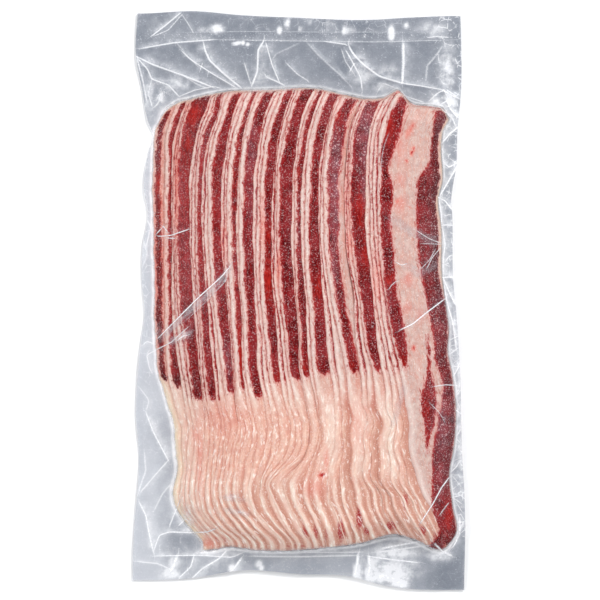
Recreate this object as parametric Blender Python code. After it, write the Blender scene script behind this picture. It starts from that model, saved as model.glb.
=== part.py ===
"""Vacuum pack of sliced beef, lying flat with the shown side up.

Thin slices of fatty beef lie shingled from left to right in a clear heat-sealed bag. The film clings to
them, so the pack is one closed solid: a thin film margin with its two seals, round a pile whose top steps
up at every slice's edge.

Lengths are millimetres until the mesh is made. +X runs across the bag, +Y towards its head, and the pack
rests on z = 0.
"""

import math

import bmesh
import bpy
import numpy as np

MILLIMETRE = 0.001

# The bag's hems, as (y, x) down each side and (x, y) along each end: straight, but drawn in where the
# vacuum pulls.
LEFT_HEM = (
    (-174.0, -99.8), (-132.0, -98.6), (-113.0, -96.8), (-93.0, -96.2), (-65.0, -98.0), (-45.0, -96.8),
    (-26.0, -95.0), (-7.0, -92.6), (12.0, -94.4), (32.0, -93.8), (51.0, -90.8), (70.0, -93.2),
    (89.0, -90.2), (99.0, -87.8), (108.0, -90.8), (128.0, -94.5), (147.0, -98.0), (174.0, -97.0),
)
RIGHT_HEM = (
    (-174.0, 99.2), (-132.0, 99.8), (-113.0, 99.2), (-93.0, 98.0), (-45.0, 96.8), (-7.0, 94.4),
    (12.0, 92.6), (51.0, 92.0), (60.0, 91.4), (70.0, 92.6), (80.0, 94.4), (99.0, 95.0), (128.0, 97.4),
    (174.0, 97.0),
)
HEAD_HEM = (
    (-97.0, 172.4), (-62.0, 173.8), (-37.0, 171.6), (1.0, 169.8), (43.0, 168.6), (66.0, 170.0),
    (97.0, 171.0),
)
FOOT_HEM = (
    (-99.0, -168.0), (-64.0, -166.8), (-34.0, -162.0), (1.0, -164.4), (30.0, -165.6), (53.0, -171.6),
    (69.0, -173.4), (99.0, -173.8),
)
FILM_THICK = 0.8
SEAL_THICK = 0.45
HEAD_SEAL = (155.5, 161.5)
FOOT_SEAL = (-157.5, -152.5)

# The pile's outline: its two ends as (x, y) and its right side as (y, x). The first slice makes its left
# side, and the slices' edges are drawn between these two y.
PILE_FOOT_Y = -147.0
PILE_HEAD_Y = 124.0
HEAD_END = (
    (-85.0, 105.0), (-83.0, 110.5), (-77.0, 117.0), (-65.0, 121.0), (-53.0, 124.0), (-17.0, 126.5),
    (14.0, 126.8), (26.0, 124.0), (53.0, 122.6), (59.5, 126.2), (64.5, 120.5), (82.0, 116.3),
    (87.0, 114.8), (90.5, 109.0),
)
FOOT_END = (
    (-57.0, -150.5), (-40.0, -148.0), (-30.0, -149.3), (19.0, -148.0), (37.0, -145.7), (59.5, -140.7),
    (69.0, -143.3), (89.0, -148.0), (93.5, -143.0),
)
RIGHT_SIDE = (
    (-148.0, 89.5), (-142.0, 93.5), (-122.0, 92.0), (-103.0, 90.2), (-90.0, 92.6), (-65.0, 94.1),
    (-45.0, 92.0), (-30.0, 89.2), (-19.0, 89.9), (0.0, 87.7), (13.0, 85.9), (45.0, 85.3), (61.0, 83.5),
    (71.0, 85.9), (90.0, 85.3), (102.0, 86.5), (110.0, 90.2),
)

# The broad slices, whose lean shows as a dark band: x of each one's left edge at the shoulder and at the
# belly, the width of it that shows at each, and how many slices follow it with only their rims showing.
SHOULDER_Y = 90.5
BELLY_Y = -38.8
FIRST_EDGE = (-87.7, -85.3)
BROAD_SLICES = (
    (-80.7, -79.8, 5.2, 7.0, 2),
    (-72.5, -67.1, 9.4, 7.0, 2),
    (-59.6, -57.8, 4.0, 6.4, 2),
    (-52.1, -46.7, 8.2, 7.0, 2),
    (-40.4, -39.5, 5.8, 5.6, 1),
    (-33.5, -32.9, 8.8, 8.2, 2),
    (-20.4, -19.1, 7.0, 7.0, 2),
    (-10.6, -6.7, 8.8, 6.7, 1),
    (-0.1, -0.7, 4.0, 6.5, 1),
    (6.0, 7.4, 8.0, 10.6, 2),
    (16.4, 27.2, 12.4, 9.0, 2),
    (31.0, 42.9, 9.4, 6.4, 3),
)
LAST_EDGE = (47.2, 59.7)
# Below the belly the edges fan out, nearly evenly at the foot. Each guide gives y, and x of the first, the
# two middle and the last edge.
GUIDES = (
    (-147.0, -57.7, -11.4, 37.9, 88.3),
    (-131.9, -69.1, -27.0, 30.7, 81.7),
    (-119.9, -74.5, -36.1, 23.4, 75.1),
    (-107.9, -74.8, -39.1, 18.0, 70.9),
    (-92.9, -73.9, -39.1, 16.2, 66.1),
    (-77.8, -75.1, -35.5, 19.2, 65.5),
    (-59.8, -79.3, -34.9, 16.2, 63.7),
    (-38.8, -85.3, -37.3, 11.4, 59.7),
)
FAN_FROM_Y = -51.0
FAN_TO_Y = -111.0
FAN_EVENNESS = 0.85
# Near the head the edges lean to the right, and each one wobbles a little all the way down.
HEAD_LEAN = 12.0
HEAD_LEAN_RUN = 34.0
EDGE_WOBBLE = 0.3
WOBBLE_RUNS = (14.0, 6.1)

PILE_HEIGHT = 25.0
CROWN = 1.2
CROWN_RUNS = (31.0, 43.0, 19.0)
# A slice's edge stands this far above the slice to its left, over a short slope.
STEP = 1.3
STEP_RUN = 0.35
LOWEST_STEP_SHARE = 0.3
# How the pile falls away at each side: over what run, and to what share of its height.
LEFT_FALL = (48.0, 0.26)
RIGHT_FALL = (34.0, 0.28)
HEAD_FALL = (13.0, 0.55)
FOOT_FALL = (15.0, 0.50)

# The film margin's height: at rest, lifted beside the pile, and waving.
FILM_REST = 1.6
FILM_LIFT = 3.6
FILM_LIFT_RUN = 13.0
FILM_WAVE = 0.55
WAVE_RUNS = (9.5, 13.0, 17.0, 40.0, 8.0)

# The grid's rows and columns, as shares of the way through the head margin, the pile and the foot margin.
PILE_ROWS = 29
CROWDING = 0.35
HEAD_ROWS = (0.0, 0.16, 0.25, 0.38, 0.62, 0.86, 0.955)
FOOT_ROWS = (0.10, 0.30, 0.52, 0.80, 1.0)
SIDE_COLUMNS = (0.0, 0.35, 0.62, 0.84)
LAST_SLICE_COLUMNS = (0.14, 0.32, 0.5, 0.68, 0.84, 1.0)

# The pack's finishes, in the order of its material slots. The lean bands end in the lower third, which is
# all fat.
FILM, FAT, LEAN = range(3)
LEAN_END_Y = -50.0


def through(points, at):
    """A smooth curve through the points, read at the given places, and level beyond its ends."""
    places, values = (np.array(column, float) for column in zip(*points))
    slopes = np.gradient(values, places)
    slopes[0] = slopes[-1] = 0.0
    at = np.clip(at, places[0], places[-1])
    i = np.clip(np.searchsorted(places, at) - 1, 0, len(places) - 2)
    gap = places[i + 1] - places[i]
    t = (at - places[i]) / gap
    rise = values[i + 1] - values[i]
    return (
        values[i]
        + rise * t * t * (3 - 2 * t)
        + gap * slopes[i] * t * (1 - t) ** 2
        - gap * slopes[i + 1] * t * t * (1 - t)
    )


def ease(t):
    """0 to 1 without a corner at either end."""
    t = np.clip(t, 0.0, 1.0)
    return t * t * (3 - 2 * t)


def rise(distance, run, start):
    """A rounded shoulder: from the start share at the edge to 1 where the run ends."""
    return start + (1 - start) * np.sin(0.5 * math.pi * np.clip(distance / run, 0.0, 1.0))


def station_edges(station):
    """Every slice's left edge at the shoulder (0) or the belly (1), from left to right."""
    edges = [FIRST_EDGE[station]]
    starts = [broad[station] for broad in BROAD_SLICES] + [LAST_EDGE[station]]
    for broad, start, following in zip(BROAD_SLICES, starts, starts[1:]):
        followers = broad[4]
        covered = start + broad[2 + station]
        edges.append(start)
        edges += [covered + (following - covered) * k / followers for k in range(followers)]
    edges.append(LAST_EDGE[station])
    return np.array(edges)


SHOULDER_EDGES = station_edges(0)
BELLY_EDGES = station_edges(1)
SLICES = len(SHOULDER_EDGES)


def fanned(share, y):
    """Where an edge at this share of the way from the first slice to the last runs below the belly."""
    rows = np.array(GUIDES)
    first, second, third, last = (through(list(zip(rows[:, 0], rows[:, k])), y) for k in (1, 2, 3, 4))
    a, b, c, d = share, share - 1 / 3, share - 2 / 3, share - 1
    return 4.5 * (a * b * c * last - b * c * d * first) + 13.5 * (a * c * d * second - a * b * d * third)


def slice_edges(y):
    """The left edges of all the slices on the line at y."""
    order = np.arange(SLICES)
    if y > BELLY_Y:
        down = (SHOULDER_Y - y) / (SHOULDER_Y - BELLY_Y)
        edges = SHOULDER_EDGES + (BELLY_EDGES - SHOULDER_EDGES) * max(down, 0.0) ** 3
        edges = edges + HEAD_LEAN * (max(y - SHOULDER_Y, 0.0) / HEAD_LEAN_RUN) ** 2
    else:
        share = (BELLY_EDGES - BELLY_EDGES[0]) / (BELLY_EDGES[-1] - BELLY_EDGES[0])
        even = order / (SLICES - 1)
        share = share + FAN_EVENNESS * (even - share) * ease((FAN_FROM_Y - y) / (FAN_FROM_Y - FAN_TO_Y))
        edges = fanned(share, y)
    slow, quick = WOBBLE_RUNS
    wobble = np.sin(y / slow + order * 2.4) + 0.6 * np.sin(y / quick + order * 1.1)
    return edges + EDGE_WOBBLE * wobble


def right_side(y):
    return through(RIGHT_SIDE, y)


def head_end(x):
    return through(HEAD_END, x)


def foot_end(x):
    return through(FOOT_END, x)


def pile_top(x, y, left):
    """The height of the slices' edges, above which only the film lies."""
    across, along, aslant = CROWN_RUNS
    crown = CROWN * (np.sin(x / across + 0.7) * np.cos(y / along) + 0.5 * np.sin((x + y) / aslant))
    return (
        (PILE_HEIGHT + crown)
        * rise(x - left, *LEFT_FALL)
        * rise(right_side(y) - x, *RIGHT_FALL)
        * rise(head_end(x) - y, *HEAD_FALL)
        * rise(y - foot_end(x), *FOOT_FALL)
    )


def film_top(x, y, outside):
    """The film margin's upper face, which hangs down from the pile and waves a little above the table."""
    across, sway, along, drift, aslant = WAVE_RUNS
    wave = np.sin(x / across + 0.6 * np.sin(y / sway)) * np.sin(y / along + x / drift)
    wave += 0.5 * np.sin((x - 1.4 * y) / aslant)
    return FILM_REST + FILM_LIFT * math.exp(-max(outside, 0.0) / FILM_LIFT_RUN) + FILM_WAVE * wave


def film_thickness(y):
    sealed = HEAD_SEAL[0] < y < HEAD_SEAL[1] or FOOT_SEAL[0] < y < FOOT_SEAL[1]
    return SEAL_THICK if sealed else FILM_THICK


def columns_at(y):
    """One row's columns from hem to hem: each one's x, and on the pile how far it lies below the edges."""
    inside_y = min(max(y, PILE_FOOT_Y), PILE_HEAD_Y)
    edges = slice_edges(inside_y)
    right = right_side(inside_y)
    left_hem = through(LEFT_HEM, y)
    right_hem = through(RIGHT_HEM, y)
    columns = [(left_hem + (edges[0] - left_hem) * share, None) for share in SIDE_COLUMNS]
    columns.append((edges[0], 0.0))
    for edge in edges[1:]:
        columns += [(edge - STEP_RUN, STEP), (edge + STEP_RUN, 0.0)]
    columns += [(edges[-1] + (right - edges[-1]) * share, 0.0) for share in LAST_SLICE_COLUMNS]
    columns += [(right + (right_hem - right) * (1 - share), None) for share in reversed(SIDE_COLUMNS)]
    return columns


def row_places():
    """Every row as a zone and a share of the way through it, from the head hem to the foot hem."""
    rows = [("head", share) for share in HEAD_ROWS]
    rows += [("pile", share) for share in spread(PILE_ROWS)]
    rows += [("foot", share) for share in FOOT_ROWS]
    return rows


def spread(count):
    """Shares from 0 to 1 that lie closer together near both ends, where the pile rounds off."""
    even = np.linspace(0.0, 1.0, count)
    return even - CROWDING / (2 * math.pi) * np.sin(2 * math.pi * even)


def row_y(zone, share, x):
    bounds = {
        "head": (through(HEAD_HEM, x), head_end(x)),
        "pile": (head_end(x), foot_end(x)),
        "foot": (foot_end(x), through(FOOT_HEM, x)),
    }
    start, end = bounds[zone]
    return start + (end - start) * share


def grid_points():
    """The grid, row by row from the head. A point is x, y, upper height, lower height, and if it is meat."""
    grid = []
    for zone, share in row_places():
        nominal = columns_at(row_y(zone, share, 0.0))
        row = []
        for k, (start_x, _) in enumerate(nominal):
            y = row_y(zone, share, start_x)
            x, below = columns_at(y)[k]
            y = row_y(zone, share, x)
            row.append(grid_point(x, y, zone, below))
        grid.append(row)
    return grid


def grid_point(x, y, zone, below):
    inside_y = min(max(y, PILE_FOOT_Y), PILE_HEAD_Y)
    left = slice_edges(inside_y)[0]
    outside = max(left - x, x - right_side(inside_y), y - head_end(x), foot_end(x) - y)
    if zone == "pile" and below is not None:
        top = pile_top(x, y, left)
        return (x, y, top - min(below, LOWEST_STEP_SHARE * top), 0.0, True)
    top = film_top(x, y, outside)
    return (x, y, top, top - film_thickness(y), False)


def build_pack():
    """The whole pack: its underside is a grid, and the same grid extruded upwards is its top."""
    grid = grid_points()
    columns = len(grid[0])
    points = [point for row in grid for point in row]
    middle_x = 0.5 * (min(p[0] for p in points) + max(p[0] for p in points))
    middle_y = 0.5 * (min(p[1] for p in points) + max(p[1] for p in points))
    solid = bmesh.new()
    bmesh.ops.create_grid(solid, x_segments=columns - 1, y_segments=len(grid) - 1, size=1.0)
    place = solid.verts.layers.int.new("place")
    for number, vert in enumerate(solid.verts):
        vert[place] = number
    under = solid.faces[:]
    raised = bmesh.ops.extrude_face_region(solid, geom=under, use_keep_orig=True)["geom"]
    upper = {part for part in raised if isinstance(part, bmesh.types.BMVert)}
    for vert in solid.verts:
        x, y, top, bottom, _ = points[vert[place]]
        height = top if vert in upper else bottom
        vert.co = ((x - middle_x) * MILLIMETRE, (y - middle_y) * MILLIMETRE, height * MILLIMETRE)
    for face in solid.faces:
        corners = [vert[place] for vert in face.verts]
        on_pile = all(points[corner][4] for corner in corners)
        row, column = divmod(min(corners), columns)
        face.material_index = pile_finish(grid[row][column][1], column) if on_pile else FILM
    resting = [face for face in under if all(points[vert[place]][4] for vert in face.verts)]
    flat = bmesh.ops.dissolve_faces(solid, faces=resting, use_verts=True)["region"]
    bmesh.ops.triangulate(solid, faces=flat)
    bmesh.ops.recalc_face_normals(solid, faces=solid.faces)
    mesh = bpy.data.meshes.new("vacuum_pack")
    solid.to_mesh(mesh)
    solid.free()
    return mesh


def pile_finish(y, column):
    """The finish from this column on: fat, or a broad slice's lean band, which ends below the belly."""
    edge_number, past_edge = divmod(column - len(SIDE_COLUMNS) + 1, 2)
    return LEAN if past_edge and edge_number in LEAN_EDGES and y > LEAN_END_Y else FAT


def lean_edges():
    """Places in the row of edges of the broad slices."""
    places, place = set(), 1
    for broad in BROAD_SLICES:
        places.add(place)
        place += 1 + broad[4]
    places.add(place)
    return places


LEAN_EDGES = lean_edges()


def finish(name, colour, roughness):
    material = bpy.data.materials.new(name)
    material.use_nodes = True
    shader = material.node_tree.nodes["Principled BSDF"]
    shader.inputs["Base Color"].default_value = (*colour, 1.0)
    shader.inputs["Roughness"].default_value = roughness
    shader.inputs["Metallic"].default_value = 0.0
    return material


def main():
    for old in list(bpy.data.objects):
        bpy.data.objects.remove(old, do_unlink=True)
    pack = bpy.data.objects.new("vacuum_pack", build_pack())
    bpy.context.scene.collection.objects.link(pack)
    pack.data.materials.append(finish("clear film margin", (0.42, 0.45, 0.51), 0.25))
    pack.data.materials.append(finish("beef fat under film", (0.79, 0.60, 0.50), 0.35))
    pack.data.materials.append(finish("lean beef under film", (0.26, 0.03, 0.03), 0.35))


main()
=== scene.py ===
"""A vacuum pack of sliced beef: 36 thin slices shingled in a clear heat-sealed bag, lying on a pale floor.

Lengths are millimetres until a mesh is made. +X runs across the bag, +Y towards its head, and the pack
rests on z = 0.
"""

import math

import bpy
import numpy as np
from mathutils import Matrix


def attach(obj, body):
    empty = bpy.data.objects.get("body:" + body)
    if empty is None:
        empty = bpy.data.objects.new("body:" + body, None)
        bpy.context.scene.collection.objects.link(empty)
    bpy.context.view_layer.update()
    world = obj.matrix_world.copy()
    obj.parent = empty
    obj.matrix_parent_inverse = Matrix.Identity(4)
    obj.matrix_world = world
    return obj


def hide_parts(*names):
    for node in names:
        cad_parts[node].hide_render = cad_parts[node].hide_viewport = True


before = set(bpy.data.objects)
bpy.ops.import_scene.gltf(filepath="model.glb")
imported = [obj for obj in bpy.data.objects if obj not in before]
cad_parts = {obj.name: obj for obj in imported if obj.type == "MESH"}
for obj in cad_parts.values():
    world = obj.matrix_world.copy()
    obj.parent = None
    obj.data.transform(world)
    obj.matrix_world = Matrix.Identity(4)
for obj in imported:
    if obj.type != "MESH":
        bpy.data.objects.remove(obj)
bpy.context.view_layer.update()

MILLIMETRE = 0.001

# ---------------------------------------------------------------- the pack's driving sizes

# The bag's hems, as (y, x) down each side and (x, y) along each end.
LEFT_HEM = (
    (-174, -99.8), (-132, -98.6), (-113, -96.8), (-93, -96.2), (-65, -98), (-45, -96.8),
    (-26, -95), (-7, -92.6), (12, -94.4), (32, -93.8), (51, -90.8), (70, -93.2),
    (89, -90.2), (99, -87.8), (108, -90.8), (128, -94.5), (147, -98), (174, -97),
)
RIGHT_HEM = (
    (-174, 99.2), (-132, 99.8), (-113, 99.2), (-93, 98), (-45, 96.8), (-7, 94.4),
    (12, 92.6), (51, 92), (60, 91.4), (70, 92.6), (80, 94.4), (99, 95), (128, 97.4),
    (174, 97),
)
HEAD_HEM = (
    (-97, 172.4), (-62, 173.8), (-37, 171.6), (1, 169.8), (43, 168.6), (66, 170),
    (97, 171),
)
FOOT_HEM = (
    (-99, -168), (-64, -166.8), (-34, -162), (1, -164.4), (30, -165.6), (53, -171.6),
    (69, -173.4), (99, -173.8),
)
# The head's sealed band, as the y of its two sides, and how soft those are. The foot's is drawn by the folds
# that run along it.
HEAD_SEAL = (155.5, 161.5)
SEAL_EDGE = 0.25

# The pile's outline: its two ends as (x, y) and its right side as (y, x).
PILE_FOOT_Y = -147.0
PILE_HEAD_Y = 124.0
HEAD_END = (
    (-85, 105), (-83, 110.5), (-77, 117), (-65, 121), (-53, 124), (-17, 126.5),
    (14, 126.8), (26, 124), (53, 122.6), (59.5, 126.2), (64.5, 120.5), (82, 116.3),
    (87, 114.8), (90.5, 109),
)
FOOT_END = (
    (-57, -150.5), (-40, -148), (-30, -149.3), (19, -148), (37, -145.7), (59.5, -140.7),
    (69, -143.3), (89, -148), (93.5, -143),
)
RIGHT_SIDE = (
    (-148, 89.5), (-142, 93.5), (-122, 92), (-103, 90.2), (-90, 92.6), (-65, 94.1),
    (-45, 92), (-30, 89.2), (-19, 89.9), (0, 87.7), (13, 85.9), (45, 85.3), (61, 83.5),
    (71, 85.9), (90, 85.3), (102, 86.5), (110, 90.2),
)

# The broad slices: x of each one's left edge at the shoulder and at the belly, the width of it that shows
# at each, and how many slices follow it with only their rims showing.
SHOULDER_Y = 90.5
BELLY_Y = -38.8
FIRST_EDGE = (-87.7, -85.3)
BROAD_SLICES = (
    (-80.7, -79.8, 5.2, 7, 2),
    (-72.5, -67.1, 9.4, 7, 2),
    (-59.6, -57.8, 4, 6.4, 2),
    (-52.1, -46.7, 8.2, 7, 2),
    (-40.4, -39.5, 5.8, 5.6, 1),
    (-33.5, -32.9, 8.8, 8.2, 2),
    (-20.4, -19.1, 7, 7, 2),
    (-10.6, -6.7, 8.8, 6.7, 1),
    (-0.1, -0.7, 4, 6.5, 1),
    (6, 7.4, 8, 10.6, 2),
    (16.4, 27.2, 12.4, 9, 2),
    (31, 42.9, 9.4, 6.4, 3),
)
LAST_EDGE = (47.2, 59.7)
# Below the belly some of the edges are followed down to the foot; the others keep their places between them.
# Each run is y, then x of each followed edge.
TRACED = (0, 7, 13, 17, 21, 25, 28, 31, 35)
TRACED_RUNS = (
    (-59.8, -79.9, -54.9, -36.8, -18, -3, 11.7, 29.3, 45.4, 63.7),
    (-77.8, -75.1, -50.5, -32.5, -15.3, 2, 13.2, 30.8, 48.3, 65.5),
    (-86.8, -74.2, -50.8, -33.7, -16.4, 1.5, 12.9, 30.7, 47.4, 65.7),
    (-94.7, -73.2, -51.4, -35.5, -18, -2.7, 10.4, 30.5, 46.3, 66.4),
    (-101.9, -73.2, -52, -36.4, -20.8, -10.6, 8, 30.6, 48.1, 68.5),
    (-109.1, -74.8, -52.9, -37.6, -23.4, -16, 6, 31, 50.2, 70.9),
    (-116.9, -75.1, -53.2, -37, -23.9, -14, 6.3, 32.2, 53.4, 74.2),
    (-125.9, -73, -51.1, -32.6, -20.4, -10.5, 9.4, 35.4, 56.8, 79.2),
    (-134.9, -67.3, -44.2, -24.6, -14, -5, 13, 38.2, 63, 84),
    (-147, -57.7, -33.5, -14, -4.5, 1.6, 16.6, 42, 69.5, 88.3),
)
# The slices bunch together in groups on the right, and lie evenly on the left: the slice, and how evenly.
EVENNESS_RUN = ((0, 1), (17, 1), (24, 0.45), (35, 0.4))
EVEN_FROM_Y = -44.0
EVEN_TO_Y = -100.0
# How far the edges bend back to the left between the belly and the head, as (y, millimetres).
BACKWARD_BEND = (
    (-38.8, 0), (-5, 0.7), (15, 1.9), (33, 2.7), (60, 2.5), (78, 1.9), (88, 0.5),
    (100, -0.4), (114, 0.4), (126, 2.2),
)
# Where a few slices are pushed aside: x, y, how far that reaches across and along, and how many millimetres.
PUSHES = (
    (-18, 4, 9, 22, -1.9), (33, 4, 12, 20, 2), (-73, -8, 8, 20, -1.5),
    (-53, 111, 9, 12, 2.2),
)
# Above the shoulder the edges lean to the right: how far, and within how much of y.
HEAD_LEAN = 12.0
HEAD_LEAN_RUN = 34.0
# Every edge wavers a little, in a slow and a quick wave, and in finer ones where it was cut: how far, and the
# run of each.
EDGE_WOBBLE = 0.3
WOBBLE_RUNS = (14, 6.1)
CUT_WAVERS = ((0.13, 2.9), (0.10, 1.5))
# A slice's whole width, and how near two edges may come to each other.
SLICE_WIDTH = 41.0
LEAST_GAP = 0.75

# The pile's height, how far its top swells, and how it falls off to each side: the run, and the share of the
# height that stands at the edge.
PILE_HEIGHT = 24.4
CROWN = 1.2
CROWN_RUNS = (31, 43, 19)
LEFT_FALL = (48, 0.14)
RIGHT_FALL = (34, 0.28)
HEAD_FALL = (13, 0.55)
FOOT_FALL = (15, 0.50)
# How far in from its ends and its hidden side a slice is rounded, how high its lower face stays above the
# floor, and how thin it may be.
END_RADIUS = 1.1
LOWEST_FACE = 0.3
THINNEST_SLICE = 0.15

# The film's height where it lies flat, how far the pile lifts it, and how it waves between.
FILM_REST = 1.6
FILM_LIFT = 3.6
FILM_LIFT_RUN = 13.0
FILM_WAVE = 0.55
WAVE_RUNS = (9.5, 13, 17, 40, 8)
# Two plies of film as one: how low their top may lie, how thick they are, how much more of that a seal takes
# off, how high their underside lies, and how wide their milky edge is.
FILM_LEAST = 0.75
FILM_THICKNESS = 0.5
SEAL_THINNER = 0.25
UNDERSIDE = 0.1
MARGIN_RUN = 0.9

# How wide the meat's rim of fat is: on a broad slice in millimetres, on one that shows only its rim as a
# share of what shows.
BROAD_RIM = (1.2, 3)
FOLLOWER_SHOWN_FAT = (0.6, 1.25)

# Where the lean ends and the fatty third begins, as (x, y) across the pile.
LEAN_TIPS = (
    (-83.5, -47.8), (-73.9, -50.8), (-66.7, -57.4), (-60.7, -59.2), (-55.9, -58.6), (-48.7, -59.8),
    (-41.5, -57.4), (-35.5, -52), (-27, -57.4), (-20.4, -56.8), (-13.8, -50.2), (-5.4, -48.4),
    (3.6, -46), (13.8, -44.8), (32.5, -43.6), (46.9, -42.4), (63.1, -42.4),
)

# The last slice lies on top and shows whole, so its two lean muscles and the small one between them each
# have their own outline, as (y, x) of the left and the right boundary.
TOP_LEAN_LEFT = (
    (-42.4, 63.4), (-35.2, 60.4), (-23.1, 57.1), (-5.1, 53.8), (12.3, 51.1), (24.3, 50.2), (33.4, 49.1),
    (42.4, 48.7), (69.4, 48.7), (79, 49), (90.5, 48.9), (96.5, 50.5), (105.5, 52.6), (114.5, 55.9),
    (121.7, 60.1),
)
TOP_LEAN_RIGHT = (
    (-42.4, 63.7), (-35.2, 64.9), (-29.7, 64.3), (-23.1, 63.7), (-14.7, 62.2), (-5.1, 60.7), (6.3, 58.3),
    (12.3, 57.7), (24.3, 57.1), (33.4, 56.3), (42.4, 55.3), (51.4, 54.7), (60.4, 55.6), (69.4, 55.6),
    (74.8, 54.7), (79, 53.2), (84.4, 55), (90.5, 57), (96.5, 59.2), (105.5, 61.9), (114.5, 63.7),
    (121.7, 64.9),
)
SIDE_LEAN_LEFT = (
    (-143.9, 86.5), (-131.9, 81.7), (-119.9, 79.9), (-107.9, 79.9), (-89.8, 79.9), (-86.8, 80.2),
    (-77.8, 82.3), (-68.8, 83.5), (-59.8, 85.3), (-47.8, 85.9), (-38.8, 82.3), (-23.7, 80.5),
    (-5.7, 77.5), (12.3, 73.3), (30.4, 70.9), (44.8, 70.3), (60.4, 70.3), (75.4, 72.7), (81.4, 77.5),
    (90.5, 78.7), (105.5, 80.5), (117.5, 82.3),
)
SMALL_LEAN_LEFT = (
    (-91.1, 76.5), (-83.8, 76), (-74.8, 75.1), (-65.8, 73.3), (-56.8, 73), (-50.8, 74.5),
    (-46.6, 75.7), (-42.4, 76.9), (-38.2, 77.3), (-29.7, 76.9), (-20.7, 76.4),
)
SMALL_LEAN_RIGHT = (
    (-91.1, 76.7), (-86.8, 77.2), (-80.8, 78.7), (-74.8, 81.1), (-68.8, 82), (-64.6, 82.6),
    (-56.8, 82), (-50.8, 81.1), (-46.6, 79.9), (-42.4, 78.7), (-38.2, 78.5), (-29.7, 78.1),
    (-20.7, 76.8),
)

# Blood and rosy fat, as x, y, how far it reaches across and along, and how strong.
FLUSHES = (
    (68.2, 104.6, 1.2, 1.7, 0.66), (66.9, 102.4, 1.3, 1.7, 0.72), (65.5, 100.3, 1.3, 1.7, 0.72),
    (64.2, 98.2, 1.1, 1.6, 0.6), (68.4, 90.6, 0.9, 1.4, 1), (67.2, 88, 0.9, 1.3, 1.1),
    (64.5, 83.7, 0.7, 0.9, 0.9), (58.4, 59.6, 0.8, 0.9, 1), (61.2, 60.2, 0.7, 0.8, 0.9),
    (60, 57.5, 3.5, 4.5, 0.36), (60, 92, 4, 12, 0.26), (60.5, 72, 3, 5, 0.3),
    (66.1, 56.2, 0.9, 0.9, 0.5), (68.5, -28.5, 1.1, 1.5, 1), (13.8, -104.3, 2.2, 1.9, 1.1),
    (16.4, -96, 1.2, 6, 0.5), (64.9, 12.3, 3, 4, 0.4), (64.3, -4.5, 3, 4, 0.3),
    (72.7, -8.7, 2.5, 4, 0.3), (-59.5, -92, 1.8, 24, 0.35), (-55.9, -146, 5.5, 3, 0.55),
    (-62, -80, 1.8, 6, 0.35), (9, -112, 7, 6, 0.35), (-45, -70, 16, 12, 0.22),
    (-84.5, 26, 3.6, 44, 0.75), (-73.5, 70, 1.6, 34, 0.55), (-82, 112, 6, 4, 0.4),
    (-62, 115, 7, 4, 0.5), (-12, 20, 2, 12, 0.5), (-22, 44, 1.6, 14, 0.45),
    (30, 34, 2.4, 9, 0.45), (47, 12, 4, 14, 0.35), (-45, 36, 2, 12, 0.4),
    (25, 104, 3, 12, 0.35), (29, 60, 3, 22, 0.25), (35, -75, 4, 14, 0.25),
)
# Blood run into the hollows between the slices.
DRIPS = (
    (3.6, -139, 4, 8, 0.9), (10.2, -138, 2.5, 8, 0.9), (17.4, -139, 4, 8, 0.8),
    (25.2, -138, 4, 9, 1), (36, -130, 3, 11, 1), (41.5, -138, 5, 4, 0.9),
    (55.3, -135, 6, 4, 1), (63.7, -120, 2.5, 9, 0.9), (74, -138, 4, 5, 0.9),
    (82, -141, 4, 5, 0.8), (-47, -143, 9, 4, 0.7), (-32.5, -120, 1.5, 5, 0.5),
    (0, -147, 26, 2.4, 0.7), (-60, -62, 20, 7, 0.4), (34, -56, 40, 5, 0.3),
)
# Lean that lies wet and bright against the film, where no frost has formed.
WET_PATCHES = (
    (-18.6, 12, 4, 12, 1), (-35.4, -36, 2.4, 17, 1), (53, 103, 4.5, 9, 0.9),
    (-63.5, 112, 5, 8, 0.9), (-85, 70, 3, 8, 0.9), (-19, 39, 3, 5, 0.8),
    (23, 111, 2.5, 6, 0.8), (36.5, 55, 2.4, 11, 0.8), (12, 8, 2.4, 8, 0.8),
    (40, 28, 2.4, 9, 0.8), (54, 12, 3.5, 5, 0.9), (-66, 92, 2.6, 10, 0.7),
    (-47, 104, 2.5, 5, 0.6), (-12, -46, 3, 6, 0.5), (30, -40, 3, 5, 0.6),
    (61.5, -37, 3, 4, 0.7), (3, -40, 3, 6, 0.6), (90, -128, 2.4, 10, 0.9),
    (-64, 56, 26, 60, 0.42), (76.5, -66, 2.5, 8, 0.5), (79.5, -82, 2.5, 5, 0.6), (-50, 64, 2, 10, 0.4),
)
# Lean greyed by frost under the film.
FROST_PATCHES = (
    (22.5, 70, 5.5, 42, 0.85), (40, 95, 6, 24, 0.8), (40, 68, 4, 12, 0.8),
    (-43, -34, 3.5, 14, 0.7), (80, 40, 6, 36, 0.3), (84, -10, 5, 34, 0.4),
    (85, -75, 6, 26, 0.7), (86, -105, 5, 12, 0.5), (52, -4, 4, 22, 0.4),
    (-57, 76, 6, 34, 0.55), (-29, 92, 4, 20, 0.7), (-27, 60, 4, 20, 0.6),
    (-71, 60, 4, 26, 0.5), (20, 18, 4, 20, 0.6), (-2, 40, 4, 18, 0.4),
    (-84, 84, 4, 20, 0.35), (86, 98, 4, 14, 0.55), (-66, 34, 9, 34, 0.5),
    (-44, 60, 5, 40, 0.5), (-52, 6, 7, 22, 0.5), (-36, 30, 4, 24, 0.45),
)

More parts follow.
